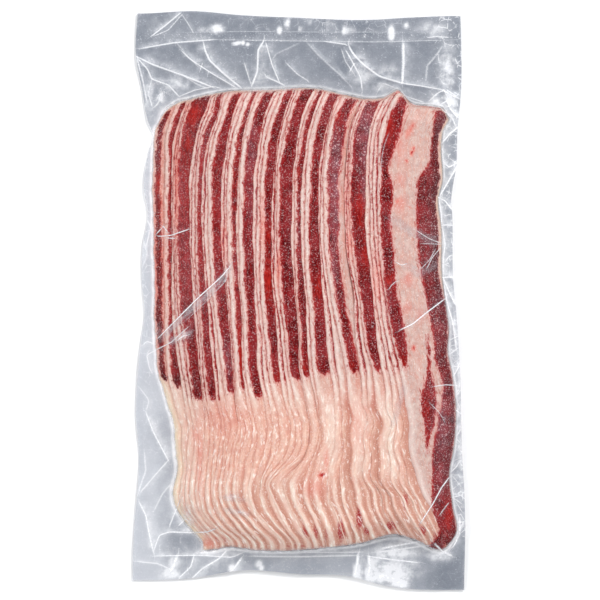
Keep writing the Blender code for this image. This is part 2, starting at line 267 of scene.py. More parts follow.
# The film's folds: how bright the crest is, as whitened film and painted highlight, its width and its height,
# then x and y of points along it.
FOLDS = (
    (0.9, 0.55, 0.5, -89, 158.5, -80, 165.5, -71, 173),
    (0.45, 0.5, 0.3, -88, 158.5, -78.5, 162.5, -70.2, 172), (0.35, 0.6, 0.2, -70.5, 172, -67, 167, -63, 160),
    (0.85, 0.5, 0.9, -71, 150.5, -65.5, 145, -52.5, 136.5, -36.5, 127),
    (1, 0.75, 1.2, -57.5, 155.5, -56.5, 150.5, -53.5, 144, -45, 136, -34, 127),
    (0.9, 0.7, 1.1, -97.5, 146.5, -88.5, 142, -69, 135, -50.5, 127.5),
    (0.85, 0.6, 0.8, -97, 145.5, -91, 139, -88.5, 133, -78.5, 129.5, -72, 122.5),
    (0.6, 0.5, 0.5, -88.5, 133, -90.5, 124, -88, 116), (0.5, 0.8, 0.6, -97.5, 146, -94, 133, -91, 118),
    (0.6, 0.5, 0.4, -85.5, 122, -82, 125.5, -84, 119, -87, 116),
    (0.8, 0.6, 0.4, -97, 151, -89.5, 152.4, -75, 154.9, -66, 155.6, -50, 156.8),
    (0.34, 0.4, 0.15, -50, 156.7, 0, 155.9, 45, 155.3, 90, 156.5, 97, 156.8),
    (0.22, 0.4, 0.1, -74, 161, -30, 161.6, 20, 161.2, 64, 161.2),
    (0.25, 0.7, 0.3, -75, 156.5, -66, 146, -58, 138),
    (0.5, 0.5, 0.5, -72, 122.5, -62, 126.5, -51, 128.5, -46, 127),
    (0.35, 0.9, 0.3, -69, 135, -60, 129, -54, 127),
    (1, 0.75, 1.1, -21, 156, -24.5, 150.5, -25, 137.5, -28.5, 128.5),
    (0.75, 0.5, 0.7, -20, 155, -16, 141, -11.5, 130.5), (0.85, 0.6, 0.6, -20.5, 134.5, -14.5, 132, -8.5, 129),
    (0.45, 0.6, 0.4, -33, 143, -30.5, 135, -28.5, 129), (0.5, 0.6, 0.4, -8, 143, -1, 136, 6, 131.5),
    (0.2, 0.9, 0.4, 0, 154.5, -14, 148, -18, 141), (0.25, 0.9, 0.6, 4, 156, 12, 147, 24, 136, 33, 127),
    (1, 0.75, 1.2, 29.5, 154, 32, 148.5, 39.5, 141, 48.5, 134.5, 62, 130.5),
    (0.8, 0.6, 0.9, 28, 150.5, 32, 143.5, 37, 134, 38, 126), (0.4, 0.6, 0.4, 25.5, 151, 28, 143.5, 35, 133),
    (0.8, 0.5, 0.3, 16, 155.5, 24, 154.5, 30, 153.5), (0.75, 1.2, 0.9, 62.5, 155, 62.8, 143.5, 62, 130.5),
    (0.75, 0.55, 0.7, 61.5, 130.5, 72.5, 129, 86.5, 126.5), (0.85, 0.6, 0.6, 86.5, 126.5, 90, 124, 96.5, 121),
    (0.3, 1, 0.4, 76, 131, 77, 141, 83, 148, 87, 154), (0.45, 0.6, 0.4, 48, 131, 53, 129.5, 58, 127.5),
    (0.7, 0.7, 0.4, 47.5, 126, 50, 129.5), (0.5, 0.5, 0.4, 60.5, 127, 64, 122.5, 75, 119),
    (0.75, 0.5, 0.6, 78, 119.5, 82.5, 124, 87, 126.5, 90, 120.5, 84.5, 117.5),
    (0.7, 0.5, 0.5, 88, 127, 94, 123, 91, 117, 88, 116), (0.85, 0.4, 0.2, 77, 158, 84, 158.6, 90, 158),
    (0.9, 0.6, 0.7, 85.6, 94.3, 90.5, 100, 95.6, 104.3),
    (0.7, 0.5, 0.5, 85.6, 94.3, 86.5, 83.2, 90, 80, 95, 82.6),
    (0.85, 0.6, 0.7, 83.8, 61.6, 89.5, 71.2, 95.3, 81.4), (0.75, 0.5, 0.5, 83.8, 61.6, 87.5, 60, 92, 54.4),
    (0.8, 0.6, 0.5, 83.8, 61.6, 85.2, 53.2, 85.6, 45.1), (0.75, 0.5, 0.4, 85.6, 45.1, 88.5, 45.4, 92, 45.1),
    (0.8, 0.6, 0.5, 85.6, 45.1, 87.7, 34, 86.5, 24.3, 86.5, 13.8),
    (0.6, 0.6, 0.4, 92, 27.3, 90, 26.5, 87.7, 23.1), (0.95, 0.55, 0.5, 86.5, 13.8, 89.5, 14.1, 93.2, 13.8),
    (0.85, 0.6, 0.6, 86.5, 13.8, 90.1, 5.1, 94.4, -3.3),
    (0.8, 0.6, 0.6, 86.5, 13.8, 88.5, 0, 92.5, -14, 94.5, -30),
    (0.85, 0.6, 0.6, 88.3, 120.5, 91, 115, 95.6, 109.7), (0.6, 0.5, 0.5, 84.7, 115.7, 92, 109.7, 94.4, 103.7),
    # over the meat
    (0.9, 0.5, 0.8, -39.5, 22.5, -46, 14.5, -60, 2, -72, -10, -86, -24),
    (0.3, 0.5, 0.4, -40, 21, -46, 9.5, -56, -1, -70, -14),
    (0.6, 0.5, 0.5, -65.5, -15, -76.5, -25, -88.5, -31), (0.5, 0.5, 0.3, -46.5, 9, -43.5, 12, -43, 15),
    (0.7, 0.8, 0.3, -73, -24, -69, -21, -66, -20), (0.8, 0.5, 0.4, -86.5, 39, -81.5, 44.6),
    (0.8, 0.5, 0.4, -81.5, 44.6, -78.8, 41), (0.8, 0.5, 0.4, -85, 38.5, -77, 39, -65, 43),
    (0.7, 0.5, 0.3, -80, 37.5, -74, 37.3), (0.18, 0.5, 0.5, 50, 51, 60, 44, 69.5, 38),
    (0.5, 0.5, 0.4, 70, 42, 78, 37, 86, 34), (0.4, 0.5, 0.3, 73, 34, 80, 34, 86, 33.5),
    (0.5, 0.5, 0.3, 86, 33, 80, 26, 76, 18), (0.6, 0.5, 0.3, 58, 23, 61, 21, 64.5, 22),
    (0.5, 0.5, 0.3, 53, 6, 56, 10, 59, 12), (0.9, 0.6, 0.6, 59.5, -18, 68, -14, 76, -7.5, 87.5, 1),
    (0.45, 0.5, 0.4, 72, 18, 78, 24, 82, 31), (0.6, 0.5, 0.4, 80, -51.5, 88, -50.5, 95, -51),
    (0.8, 0.6, 0.6, 91, -105, 85.5, -112, 80, -122, 72, -134), (0.5, 0.5, 0.3, 90, -121, 86, -126, 84, -129),
    (0.35, 0.5, 0.3, 78, -61, 84, -67, 88, -74), (0.3, 0.5, 0.3, 54, 101, 51, 93, 49.5, 86, 49, 76),
    (0.7, 0.6, 0.4, -62.5, -139.5, -55, -138.8, -49.5, -136.5),
    # the left margin and the foot
    (0.8, 0.6, 0.8, -92, -67, -87.5, -79, -78.5, -96),
    (0.5, 0.6, 0.6, -78.5, -96, -87, -105.5, -95.5, -115.5),
    (0.3, 0.8, 0.5, -93, -90, -92, -102, -97.5, -118),
    (0.85, 0.7, 0.8, -96, -121, -92, -129, -90, -140, -87.5, -151),
    (0.75, 0.6, 0.6, -87.5, -151, -84, -141, -78, -139, -62.5, -139.5),
    (0.5, 0.6, 0.4, -78, -136, -74, -126, -71, -119), (0.25, 0.8, 0.4, -88, -128, -82, -116, -76, -109),
    (0.6, 0.6, 0.4, -72, -135, -68, -131, -64.5, -134),
    (0.7, 0.5, 0.4, -88, -153.5, -60, -153, -40, -154.2, -33, -151),
    (0.4, 0.7, 0.3, -99, -156.5, -85, -158, -76, -162), (0.95, 1.6, 0.7, -73.5, -154, -75, -158.5, -78, -164),
    (0.8, 0.6, 0.6, -63, -153, -65, -160, -72.5, -167),
    (0.85, 0.7, 0.8, -42.5, -149, -48, -155, -58, -161, -64.5, -167),
    (0.85, 0.9, 0.7, -34.5, -154.5, -37.5, -159, -42, -164),
    (0.55, 0.5, 0.3, -34, -150, -10, -151, 20, -151.2, 40, -151),
    (0.4, 0.7, 0.4, -30, -153.5, 0, -153.8, 36, -153), (0.9, 1.2, 0.6, 35.5, -152.5, 35, -158, 33, -166),
    (0.95, 1.4, 0.6, 42, -153.5, 42.5, -160, 41, -167), (0.7, 0.6, 0.4, 41, -153.5, 55, -155.5, 72, -157.5),
    (0.75, 0.9, 0.5, 49, -149, 62, -146.5, 73, -144.5), (0.55, 0.7, 0.4, 44, -151.5, 60, -149.5, 80, -146.5),
    (0.6, 1, 0.5, 81, -145.5, 86, -150.5, 92, -153.5), (0.7, 0.7, 0.5, 93, -147, 96.5, -140, 96.5, -130),
    (0.5, 0.5, 0.4, 95.5, -132, 94.5, -145, 91, -149.5), (0.3, 0.6, 0.4, -96, -52, -90, -60, -92, -67),
    (0.3, 0.6, 0.4, -94, 20, -91, 28, -93.5, 36), (0.4, 0.6, 0.4, -92, 50, -89, 44, -92.5, 30),
    (0.5, 0.5, 0.4, -87, -26, -91.5, -24.5, -94, -27),
    (0.5, 0.5, 0.4, -88, -31, -91.5, -32.5, -90, -40, -88, -44),
)
# Painted reflections: where the film is painted white as if it shone, as x, y, reach across and along, and
# how strong.
PAINTED_SHINES = (
    (-48.7, 163, 3.2, 2.2, 1), (-55.8, 162.6, 1.4, 1.4, 0.4), (18.6, 164.6, 1.5, 3.2, 1),
    (55.4, 160.5, 1.6, 3.6, 1), (64.6, 165, 1.1, 1.6, 0.8), (27, 162.2, 1.1, 2, 0.7),
    (1, 162.8, 1, 1.8, 0.8), (6.3, 167.2, 1, 1.6, 0.6), (-11.8, 162.2, 1.2, 1.8, 0.9),
    (-7.2, 166.2, 1.2, 3.2, 0.7), (-37.5, 154.5, 1.2, 0.9, 1), (-33.7, 154.8, 1, 0.9, 1),
    (-30.9, 153.9, 0.9, 0.8, 1), (-77.5, -164, 4.2, 2.8, 1), (-75, -158, 1.6, 5, 0.8),
    (-24, -158.2, 1.6, 1.8, 0.9), (-22.6, -160.4, 1.2, 1.6, 0.7),
    (-40, -160.5, 2, 2.6, 0.7), (52.8, -166, 6.5, 3.6, 1),
    (60.5, -169.2, 5, 3, 0.9), (55, -162.5, 13, 8.5, 0.55), (34.6, -163, 1.6, 4.5, 0.9),
    (42, -164, 1.6, 5, 0.9), (58, -151.5, 15, 2.6, 0.6), (84, -153, 7, 3, 0.5),
    (-83.5, 121, 2.6, 3, 0.6), (91, 120, 3.5, 5, 0.6), (82, 119, 4, 3, 0.45),
    (-90, 125, 3, 10, 0.3), (-75, 130, 9, 5, 0.3), (-23, 136, 5, 8, 0.22),
    (38, 136, 6, 7, 0.3), (54, 138.5, 5, 3, 0.3), (89, 140, 5, 14, 0.35),
    (50, 128, 5, 3, 0.3), (-68, -128.5, 4, 5, 0.35), (-66, -133.5, 3, 2, 0.5),
    (-84, 164, 8, 6, 0.12), (80, 163, 8, 4, 0.3), (98, -60, 5, 60, 0.3),
    (-40.5, -117.6, 3.6, 1.5, 0.75), (-34, -119.4, 2.6, 1, 0.4), (-40.5, -125.4, 3.6, 0.9, 0.6),
    (-34.5, -127.2, 3.4, 1, 0.75), (-69, -20.5, 3.5, 3, 0.45), (-85, -19, 2, 3, 0.4),
)
# Bands where the film lies doubled over the meat: half the width, how strong, how much paler, then x and y
# of points along each.
BANDS = (
    (2.8, 0.16, 0.4, 53, 50, 60, 46, 68, 41, 84, 34), (1.5, 0.3, 0.8, -84, -24, -62, -3, -50, 8.5, -40, 22),
    (1.7, 0.26, 0.8, -78, -25, -70, -21.5, -64, -18), (1.6, 0.16, 0.8, 56, -76, 60, -62, 63, -50),
    (2.2, 0.14, 0.6, 62, 22, 72, 16, 84, 22),
)
# Where the film is crumpled finely: x, y, reach across and along, and how much.
CRUMPLES = (
    (-86, 121, 8, 9, 0.7), (88, 119, 9, 8, 0.9), (62, -150.5, 20, 3, 0.9),
    (88, -150, 9, 3, 0.3), (-72, -122, 6, 16, 0.5), (-91, 20, 5, 90, 0.45),
    (20, 165, 40, 5, 0.4), (-60, -151, 16, 3, 0.4), (52, 127, 9, 4, 0.4),
)


# ---------------------------------------------------------------- curves and the pile's layers


def through(points, at):
    """A smooth curve through the points, read at the given places, and level beyond its ends."""
    places, values = (np.array(column, float) for column in zip(*points))
    slopes = np.gradient(values, places)
    slopes[0] = slopes[-1] = 0.0
    at = np.clip(at, places[0], places[-1])
    i = np.clip(np.searchsorted(places, at) - 1, 0, len(places) - 2)
    gap = places[i + 1] - places[i]
    t = (at - places[i]) / gap
    climb = values[i + 1] - values[i]
    return (
        values[i]
        + climb * t * t * (3 - 2 * t)
        + gap * slopes[i] * t * (1 - t) ** 2
        - gap * slopes[i + 1] * t * t * (1 - t)
    )


def ease(t):
    """0 to 1 without a corner at either end."""
    t = np.clip(t, 0.0, 1.0)
    return t * t * (3 - 2 * t)


def fade(at, start, end):
    """0 up to the start and 1 from the end on, without a corner at either."""
    return ease((at - start) / (end - start))


def rise(distance, run, start):
    """A rounded shoulder: from the start share at the edge to 1 where the run ends."""
    return start + (1 - start) * np.sin(0.5 * math.pi * np.clip(distance / run, 0.0, 1.0))


def station_edges(station):
    """Every slice's left edge at the shoulder (0) or the belly (1), from left to right."""
    starts = [broad[station] for broad in BROAD_SLICES] + [LAST_EDGE[station]]
    edges = [FIRST_EDGE[station]]
    for broad, start, following in zip(BROAD_SLICES, starts, starts[1:]):
        covered, followers = start + broad[2 + station], broad[4]
        edges += [start, *(covered + (following - covered) * k / followers for k in range(followers))]
    return np.array([*edges, LAST_EDGE[station]])


SHOULDER_EDGES, BELLY_EDGES = station_edges(0), station_edges(1)
SLICES = len(SHOULDER_EDGES)
LAST = SLICES - 1
ORDER = np.arange(SLICES)
# For every slice, whether only its rim shows.
FOLLOWER = np.array([False, *(k > 0 for broad in BROAD_SLICES for k in range(broad[4] + 1)), False])
# The broad slice that each slice's group starts with, and the one that the next group starts with.
GROUP_STARTS = np.append(np.flatnonzero(~FOLLOWER), SLICES)
GROUP_OF = np.searchsorted(GROUP_STARTS, ORDER, side="right") - 1
GROUP_FROM, GROUP_TO = GROUP_STARTS[GROUP_OF], GROUP_STARTS[GROUP_OF + 1]


def hanging(y):
    """Where the edges run above the belly, curving to the right towards the head."""
    down = max((SHOULDER_Y - y) / (SHOULDER_Y - BELLY_Y), 0.0)
    edges = SHOULDER_EDGES + (BELLY_EDGES - SHOULDER_EDGES) * down**3
    edges = edges + HEAD_LEAN * (max(y - SHOULDER_Y, 0.0) / HEAD_LEAN_RUN) ** 2
    # the bend fades in from the left side and weakens again towards the right
    held = fade(edges, -86, -64) * (1 - 0.8 * fade(edges, 5, 50))
    edges = edges - held * through(BACKWARD_BEND, y)
    for middle_x, middle_y, across, along, push in PUSHES:
        edges = edges + push * np.exp(-(((edges - middle_x) / across) ** 2) - ((y - middle_y) / along) ** 2)
    return edges


TRACED_COLUMNS = [
    [(row[0], row[k + 1]) for row in TRACED_RUNS[::-1]]
    + [(y, hanging(y)[slice_number]) for y in (BELLY_Y, BELLY_Y + 14.0)]
    for k, slice_number in enumerate(TRACED)
]
EVENNESS = through(EVENNESS_RUN, ORDER)


def fanned(y):
    """Where the edges run below the belly, more evenly spread the nearer they come to the foot."""
    traced = np.array([through(column, y) for column in TRACED_COLUMNS], float)
    even = fade(y, EVEN_FROM_Y, EVEN_TO_Y) * EVENNESS
    places = BELLY_EDGES + even * (np.interp(ORDER, TRACED, traced) - BELLY_EDGES)
    keys = places[list(TRACED)]
    return places + through(list(zip(keys, traced - keys)), places)


def slice_edges(y):
    """The left edges of all the slices on the line at y."""
    edges = hanging(y) if y > BELLY_Y else fanned(y)
    slow, quick = WOBBLE_RUNS
    wobble = np.sin(y / slow + ORDER * 2.4) + 0.6 * np.sin(y / quick + ORDER * 1.1)
    return edges + EDGE_WOBBLE * wobble


def right_side(y):
    return through(RIGHT_SIDE, y)


def head_end(x):
    return through(HEAD_END, x)


def foot_end(x):
    return through(FOOT_END, x)


LINE_STEP = 0.5
LINES = np.arange(PILE_FOOT_Y - 8, PILE_HEAD_Y + 8, LINE_STEP)


def edge_lines():
    """Every slice's left and right edge on every line across the pile, with the cut's fine unevenness."""
    phases = np.random.default_rng(11).uniform(0, 2 * math.pi, (3, SLICES))
    left, right = [], []
    for y in LINES:
        inside_y = min(max(y, PILE_FOOT_Y), PILE_HEAD_Y)
        side = right_side(inside_y)
        edges = slice_edges(inside_y)
        for (swing, run), phase in zip(CUT_WAVERS, phases):
            edges = edges + swing * np.sin(y / run + phase)
        # neighbours waver together in the fatty third, most of all where they are bunched
        edges = edges + 0.32 * fade(y, -52, -87) * np.sin(y / 4.4 + ORDER * 0.5 + phases[2] * 0.15)
        bunched = fade(ORDER, 25, 29) * fade(ORDER, 35.5, 32.5) * fade(y, -54, -68) * fade(y, -128, -114)
        edges = edges + 1.2 * bunched * np.sin(y / 3.6 + ORDER * 0.3)
        gaps = ORDER * LEAST_GAP
        edges = np.maximum.accumulate(edges - gaps) + gaps
        edges = np.minimum(edges, side - (SLICES - ORDER) * 0.25)
        left.append(edges)
        right.append(np.minimum(edges + SLICE_WIDTH, side - 0.4 * (LAST - ORDER)))
    return np.array(left), np.array(right)


LEFT_EDGES, RIGHT_EDGES = edge_lines()


def edges_at(y, lines):
    """Every slice's edge at each of the given y: one row for each y."""
    at = np.clip((np.asarray(y, float) - LINES[0]) / LINE_STEP, 0, len(LINES) - 1.001)
    low = at.astype(int)
    part = (at - low)[..., None]
    return lines[low] * (1 - part) + lines[low + 1] * part


def layer_under(x, edges):
    """How many edges x has passed, with the part of the way to the next one, and the slice passed last."""
    passed = (edges <= x[:, None]).sum(axis=1) - 1
    last = np.clip(passed, 0, SLICES - 2)
    line = np.arange(len(x))
    here, there = edges[line, last], edges[line, last + 1]
    return last + np.clip((x - here) / (there - here), 0.0, 1.0), np.clip(passed, 0, LAST)


def next_edge(y, edges, number):
    """Where the slice that follows each given one begins; after the last slice, the pile's right side."""
    line = np.arange(len(y))
    return np.where(number < LAST, edges[line, np.minimum(number + 1, LAST)], right_side(y))


def pile_top(x, y, left):
    """The height of the slices' edges, above which only the film lies."""
    across, along, aslant = CROWN_RUNS
    crown = CROWN * (np.sin(x / across + 0.7) * np.cos(y / along) + 0.5 * np.sin((x + y) / aslant))
    crown = crown + 0.28 * np.sin(x / 6.3 + 1.4 * np.sin(y / 15)) * np.sin(y / 8.7 + x / 21)
    return (
        (PILE_HEIGHT + crown)
        * rise(x - left, *LEFT_FALL)
        * rise(right_side(y) - x, *RIGHT_FALL)
        * rise(head_end(x) - y, *HEAD_FALL)
        * rise(y - foot_end(x), *FOOT_FALL)
    )


def rounded(distance, radius):
    """The share of its half thickness that a slice keeps this far inside its end or its hidden side."""
    near = np.clip(distance / radius, 0.0, 1.0)
    return 0.22 + 0.78 * np.sqrt(1 - (1 - near) ** 2)


# The ridges at the foot lie about 5 mm apart: how many of them there are as far as each of these slices.
FOOT_RIDGES = ((0, 0), (7, 4.9), (13, 8.7), (21, 11.9), (25, 14.9), (28, 20), (31, 25.5), (35, 29.5))
GROUP_RIDGE = 1.1
FOOT_RIDGE = 0.9


def gathered(x, y, left):
    """The soft ridges of the fatty third: their height, how strongly their crests are painted light and their
    hollows painted shade, and how much they count.

    A broad slice and its followers are pressed into one ridge on the right. At the foot all the slices stand
    up in finer ridges.
    """
    passed, number = layer_under(x, left)
    begin = left[np.arange(len(x)), GROUP_FROM[number]]
    wide = next_edge(y, left, GROUP_TO[number] - 1) - begin
    share = np.clip((x - begin) / wide, 0, 1)
    beneath = number < LAST
    grouped = fade(y, -50, -66) * fade(x, 2, 22) * (1 - 0.5 * fade(y, -104, -120)) * beneath
    ridged = fade(y, -98, -120) * (0.35 + 0.65 * fade(x, -62, -42)) * beneath
    wave = np.cos(2 * math.pi * np.interp(passed, *zip(*FOOT_RIDGES)))
    swell = GROUP_RIDGE * np.clip(wide / 6, 0.3, 1.0) * np.sin(math.pi * share**0.7)
    height = grouped * swell + FOOT_RIDGE * ridged * (0.5 - 0.5 * wave)
    # painted highlight on each ridge's crest and painted shade in its hollow
    crest_highlight = 0.85 * grouped * np.exp(-(((share - 0.36) / 0.24) ** 2))
    crest_highlight = np.maximum(crest_highlight * (1 - ridged), ridged * (0.5 - 0.5 * wave) ** 2)
    hollow_shade = grouped * np.maximum(fade(share, 0.7, 1), fade(share, 0.12, 0))
    hollow_shade = np.maximum(hollow_shade, ridged * (0.5 + 0.5 * wave) ** 2)
    return height, crest_highlight, hollow_shade, np.maximum(grouped, ridged)


def pressed(distance, shown, y):
    """The share of its thickness that a slice keeps, and the height of the soft ridge along its rim.

    A slice is pressed thin at its rim and fills out until the next one covers it, so that the top of the pile
    stays nearly level. The ridges are highest towards the foot.
    """
    low, foot = fade(y, -42, -66), fade(y, -84, -114)
    shown = np.clip(shown, 0.8, 9.0)
    along = np.clip(distance / shown, 0.0, 1.0)
    near = np.clip(distance / np.minimum(shown, 3 + low), 0.0, 1.0)
    tall = (0.26 - 0.12 * low + 0.5 * foot) * np.clip(shown / 3.2, 0.2, 1.0)
    return 0.03 + 0.97 * along, tall * np.sin(math.pi * near**0.85)


def slice_heights(x, y, number):
    """The upper and the lower face of one slice, or of a slice for each point."""
    left, right = edges_at(y, LEFT_EDGES), edges_at(y, RIGHT_EDGES)
    covered, _ = layer_under(x, left)
    ended, _ = layer_under(x, right)
    ended = np.where(x < right[:, 0], 0.0, ended)
    pile = pile_top(x, y, left[:, 0])
    spacing = pile / (covered - ended + 1)
    upper = spacing * np.maximum(number - ended + 1, 0.0)
    lower = upper - 0.93 * spacing
    start = left[np.arange(len(x)), number]
    kept, ridge = pressed(x - start, next_edge(y, left, number) - start, y)
    height, _, _, amount = gathered(x, y, left)
    up = height / np.maximum(pile, 6.0)
    return (lower + (upper - lower) * kept) * (1 + up) + ridge * (1 - 0.7 * amount), lower * (1 + up)


def visible_height(x, y):
    """The height of whichever slice lies on top at each point."""
    _, number = layer_under(x, edges_at(y, LEFT_EDGES))
    return slice_heights(x, y, number)[0]


# ---------------------------------------------------------------- making a sheet with two faces


# Faces that meet at less than this are shaded as one.
SMOOTH_ANGLE = math.radians(48)


def closed_sheet(name, x, y, upper, lower):
    """A flat grid, extruded once, whose points then go to their places.

    Each of x, y, upper and lower has the grid's shape, with its rows from the head and its columns from the
    left. The sheet comes with the row and the column of each of its points.
    """
    rows, columns = upper.shape
    bpy.ops.object.select_all(action="DESELECT")
    bpy.ops.mesh.primitive_grid_add(x_subdivisions=columns - 1, y_subdivisions=rows - 1, size=2.0)
    sheet = bpy.context.object
    sheet.name = sheet.data.name = name
    bpy.ops.object.mode_set(mode="EDIT")
    bpy.ops.mesh.select_all(action="SELECT")
    bpy.ops.mesh.extrude_region_move(TRANSFORM_OT_translate={"value": (0.0, 0.0, 1.0)})
    bpy.ops.object.mode_set(mode="OBJECT")
    places = np.empty(len(sheet.data.vertices) * 3)
    sheet.data.vertices.foreach_get("co", places)
    places = places.reshape(-1, 3)
    column = np.rint((places[:, 0] + 1) / 2 * (columns - 1)).astype(int)
    row = np.rint((1 - places[:, 1]) / 2 * (rows - 1)).astype(int)
    at = row, column
    z = np.where(places[:, 2] > 0.5, upper[at], lower[at])
    sheet.data.vertices.foreach_set("co", (np.stack([x[at], y[at], z], axis=1) * MILLIMETRE).ravel())
    bpy.ops.object.mode_set(mode="EDIT")
    bpy.ops.mesh.select_all(action="SELECT")
    bpy.ops.mesh.normals_make_consistent(inside=False)
    bpy.ops.object.mode_set(mode="OBJECT")
    bpy.ops.object.shade_smooth_by_angle(angle=SMOOTH_ANGLE)
    sheet.data.update()
    return sheet, at


def mark(sheet, at, marks):
    """Stores numbers, or triples, of the grid for every point of the sheet, for its material to read."""
    for name, values in marks.items():
        values = values[at]
        kind, field = ("FLOAT", "value") if values.ndim == 1 else ("FLOAT_VECTOR", "vector")
        attribute = sheet.data.attributes.new(name, kind, "POINT")
        attribute.data.foreach_set(field, np.ascontiguousarray(values, dtype=np.float32).ravel())


def patches(x, y, places):
    """The strongest of the patches at each point, each one fading out round its middle."""
    strongest = np.zeros_like(x)
    for middle_x, middle_y, across, along, strength in places:
        far = ((x - middle_x) / across) ** 2 + ((y - middle_y) / along) ** 2
        strongest = np.maximum(strongest, strength * np.exp(-0.9 * far))
    return strongest


# ---------------------------------------------------------------- the slices

SLICE_ROWS = 150
# Where a slice's columns lie, from its left edge: close together at the rim and at the hidden side, and
# everywhere on the last slice, which shows whole.
RIM_COLUMNS = (0, 0.18, 0.5, 0.95, 1.5, 2.1, 2.8, 3.7, 4.9, 6.2, 7.6, 9, 10.4, 12)
SIDE_COLUMNS = (15, 19, 24, 29, 32.5, 35.5, 37.6, 38.9, 39.8, 40.4, 40.8, 41)
LAST_COLUMNS = (
    0, 0.18, 0.5, 0.95, 1.5, 2.1, 2.8, 3.7, 4.7, 5.8, 6.9, 8, 9.2, 10.5, 12, 13.5, 15, 16.6, 18.2,
    19.8, 21.4, 23, 24.5, 26, 27.5, 29, 30.4, 31.8, 33.2, 34.5, 35.8, 37, 38.1, 39, 39.8, 40.4,
    40.8, 41,
)


def slice_grid(number, chance):
    """Where one slice's points lie: x, y, and how far each is from the slice's two sides and two ends."""
    offsets = np.array(LAST_COLUMNS if number == LAST else RIM_COLUMNS + SIDE_COLUMNS)
    shares = np.linspace(0.0, 1.0, SLICE_ROWS)
    shares = shares - 0.12 / (2 * math.pi) * np.sin(4 * math.pi * shares) * 0.5
    head_cut, foot_cut = chance.uniform(0.0, 1.3, 2)
    head_turn, foot_turn = chance.uniform(0.6, 2.2), chance.uniform(0.2, 0.9)
    along, share = np.meshgrid(offsets, shares)

    def across(y):
        left, right = (edges_at(y, lines)[..., number] for lines in (LEFT_EDGES, RIGHT_EDGES))
        return left, right, along * np.minimum((right - left) / SLICE_WIDTH, 1.0)

    y = PILE_HEAD_Y + (PILE_FOOT_Y - PILE_HEAD_Y) * share
    # the ends' y depends on x and the sides' x on y, so both are found in turns
    for _ in range(4):
        left, right, off = across(y)
        past_corner = np.clip(1 - off / 3.6, 0, 1) ** 2
        head = head_end(left + off) - head_cut - head_turn * past_corner
        foot = foot_end(left + off) + foot_cut * 0.7 + foot_turn * past_corner
        y = head + (foot - head) * share
    left, right, off = across(y)
    x = left + off
    return x, y, x - left, right - x, head - y, y - foot


def band(x, y, left, right):
    """How far inside a muscle each point lies, where its outline is given as two curves along y."""
    low, high = max(left[0][0], right[0][0]), min(left[-1][0], right[-1][0])
    inside = np.minimum(x - through(left, y), through(right, y) - x)
    return np.minimum(inside, np.minimum(y - low, high - y))


# How wide each slice's rim is, between the least and the most.
RIM_CHANCE = np.random.default_rng(5).uniform(0, 1, SLICES)
# On this slice rosy fat shows beside the lean, so that its lean ends sooner: how far in, as (y, millimetres).
ROSY_SLICE = int(np.flatnonzero(~FOLLOWER)[11])
ROSY_REACH = ((-45, 8.3), (36, 8.4), (90, 9.9))
# The lean's rounded tip is this much longer than half as wide as it is.
TIP_LENGTH = 1.35


def lean_of(number, x, y, from_left, from_right, from_head, shown):
    """How far inside the lean each point of a slice lies, in millimetres; negative in its fat."""
    if number == LAST:
        first = band(x, y, TOP_LEAN_LEFT, TOP_LEAN_RIGHT)
        beside = np.minimum(x - through(SIDE_LEAN_LEFT, y), from_right - 1.9 + 1.6 * fade(y, 20, -10))
        small = band(x, y, SMALL_LEAN_LEFT, SMALL_LEAN_RIGHT)
        lean = np.maximum(np.maximum(first, beside), small)
        return np.minimum(lean, from_head - 0.9)
    least, most = FOLLOWER_SHOWN_FAT if FOLLOWER[number] else BROAD_RIM
    rim = (least + (most - least) * RIM_CHANCE[number]) * (shown if FOLLOWER[number] else 1.0)
    reach = np.maximum(shown + 0.7, rim + 0.2)
    if number == 0:
        rim, reach = 1.5, np.full_like(x, 4.7)
    if number == ROSY_SLICE:
        reach = np.minimum(reach, through(ROSY_REACH, y))
    middle, half = 0.5 * (rim + reach), 0.5 * (reach - rim)
    tip = through(LEAN_TIPS, x - from_left + middle)
    turn = tip + TIP_LENGTH * half
    straight = half - np.abs(from_left - middle)
    tipped = half - np.hypot(from_left - middle, (turn - y) / TIP_LENGTH)
    lean = np.where(y > turn, straight, tipped)
    hidden_side = np.minimum(from_right - 2.3, 10.2 - from_right)
    return np.minimum(np.maximum(lean, hidden_side), from_head - 0.9)


def slice_faces(number, x, y, from_left, from_right, from_head, from_foot):
    """The heights of a slice's upper and lower face, rounded at its ends and at its hidden side."""
    flat = x.ravel(), y.ravel(), np.full(x.size, number)
    upper, lower = (face.reshape(x.shape) for face in slice_heights(*flat))
    middle, half = 0.5 * (upper + lower), 0.5 * (upper - lower)
    keep = rounded(from_right, END_RADIUS) * rounded(from_head, END_RADIUS) * rounded(from_foot, END_RADIUS)
    grain = 0.05 * np.sin(from_left * 2.1 + 3 * np.sin(y / 4.0 + number)) * np.sin(y / 1.9 + number)
    upper = middle + half * keep + grain * np.clip(from_left / 2, 0, 1)
    # the rim is pressed into the slice beneath, so that no gap is left under it
    lower = np.maximum(middle - half * keep - 0.45 * np.exp(-from_left / 0.9), LOWEST_FACE)
    return np.maximum(upper, lower + THINNEST_SLICE), lower


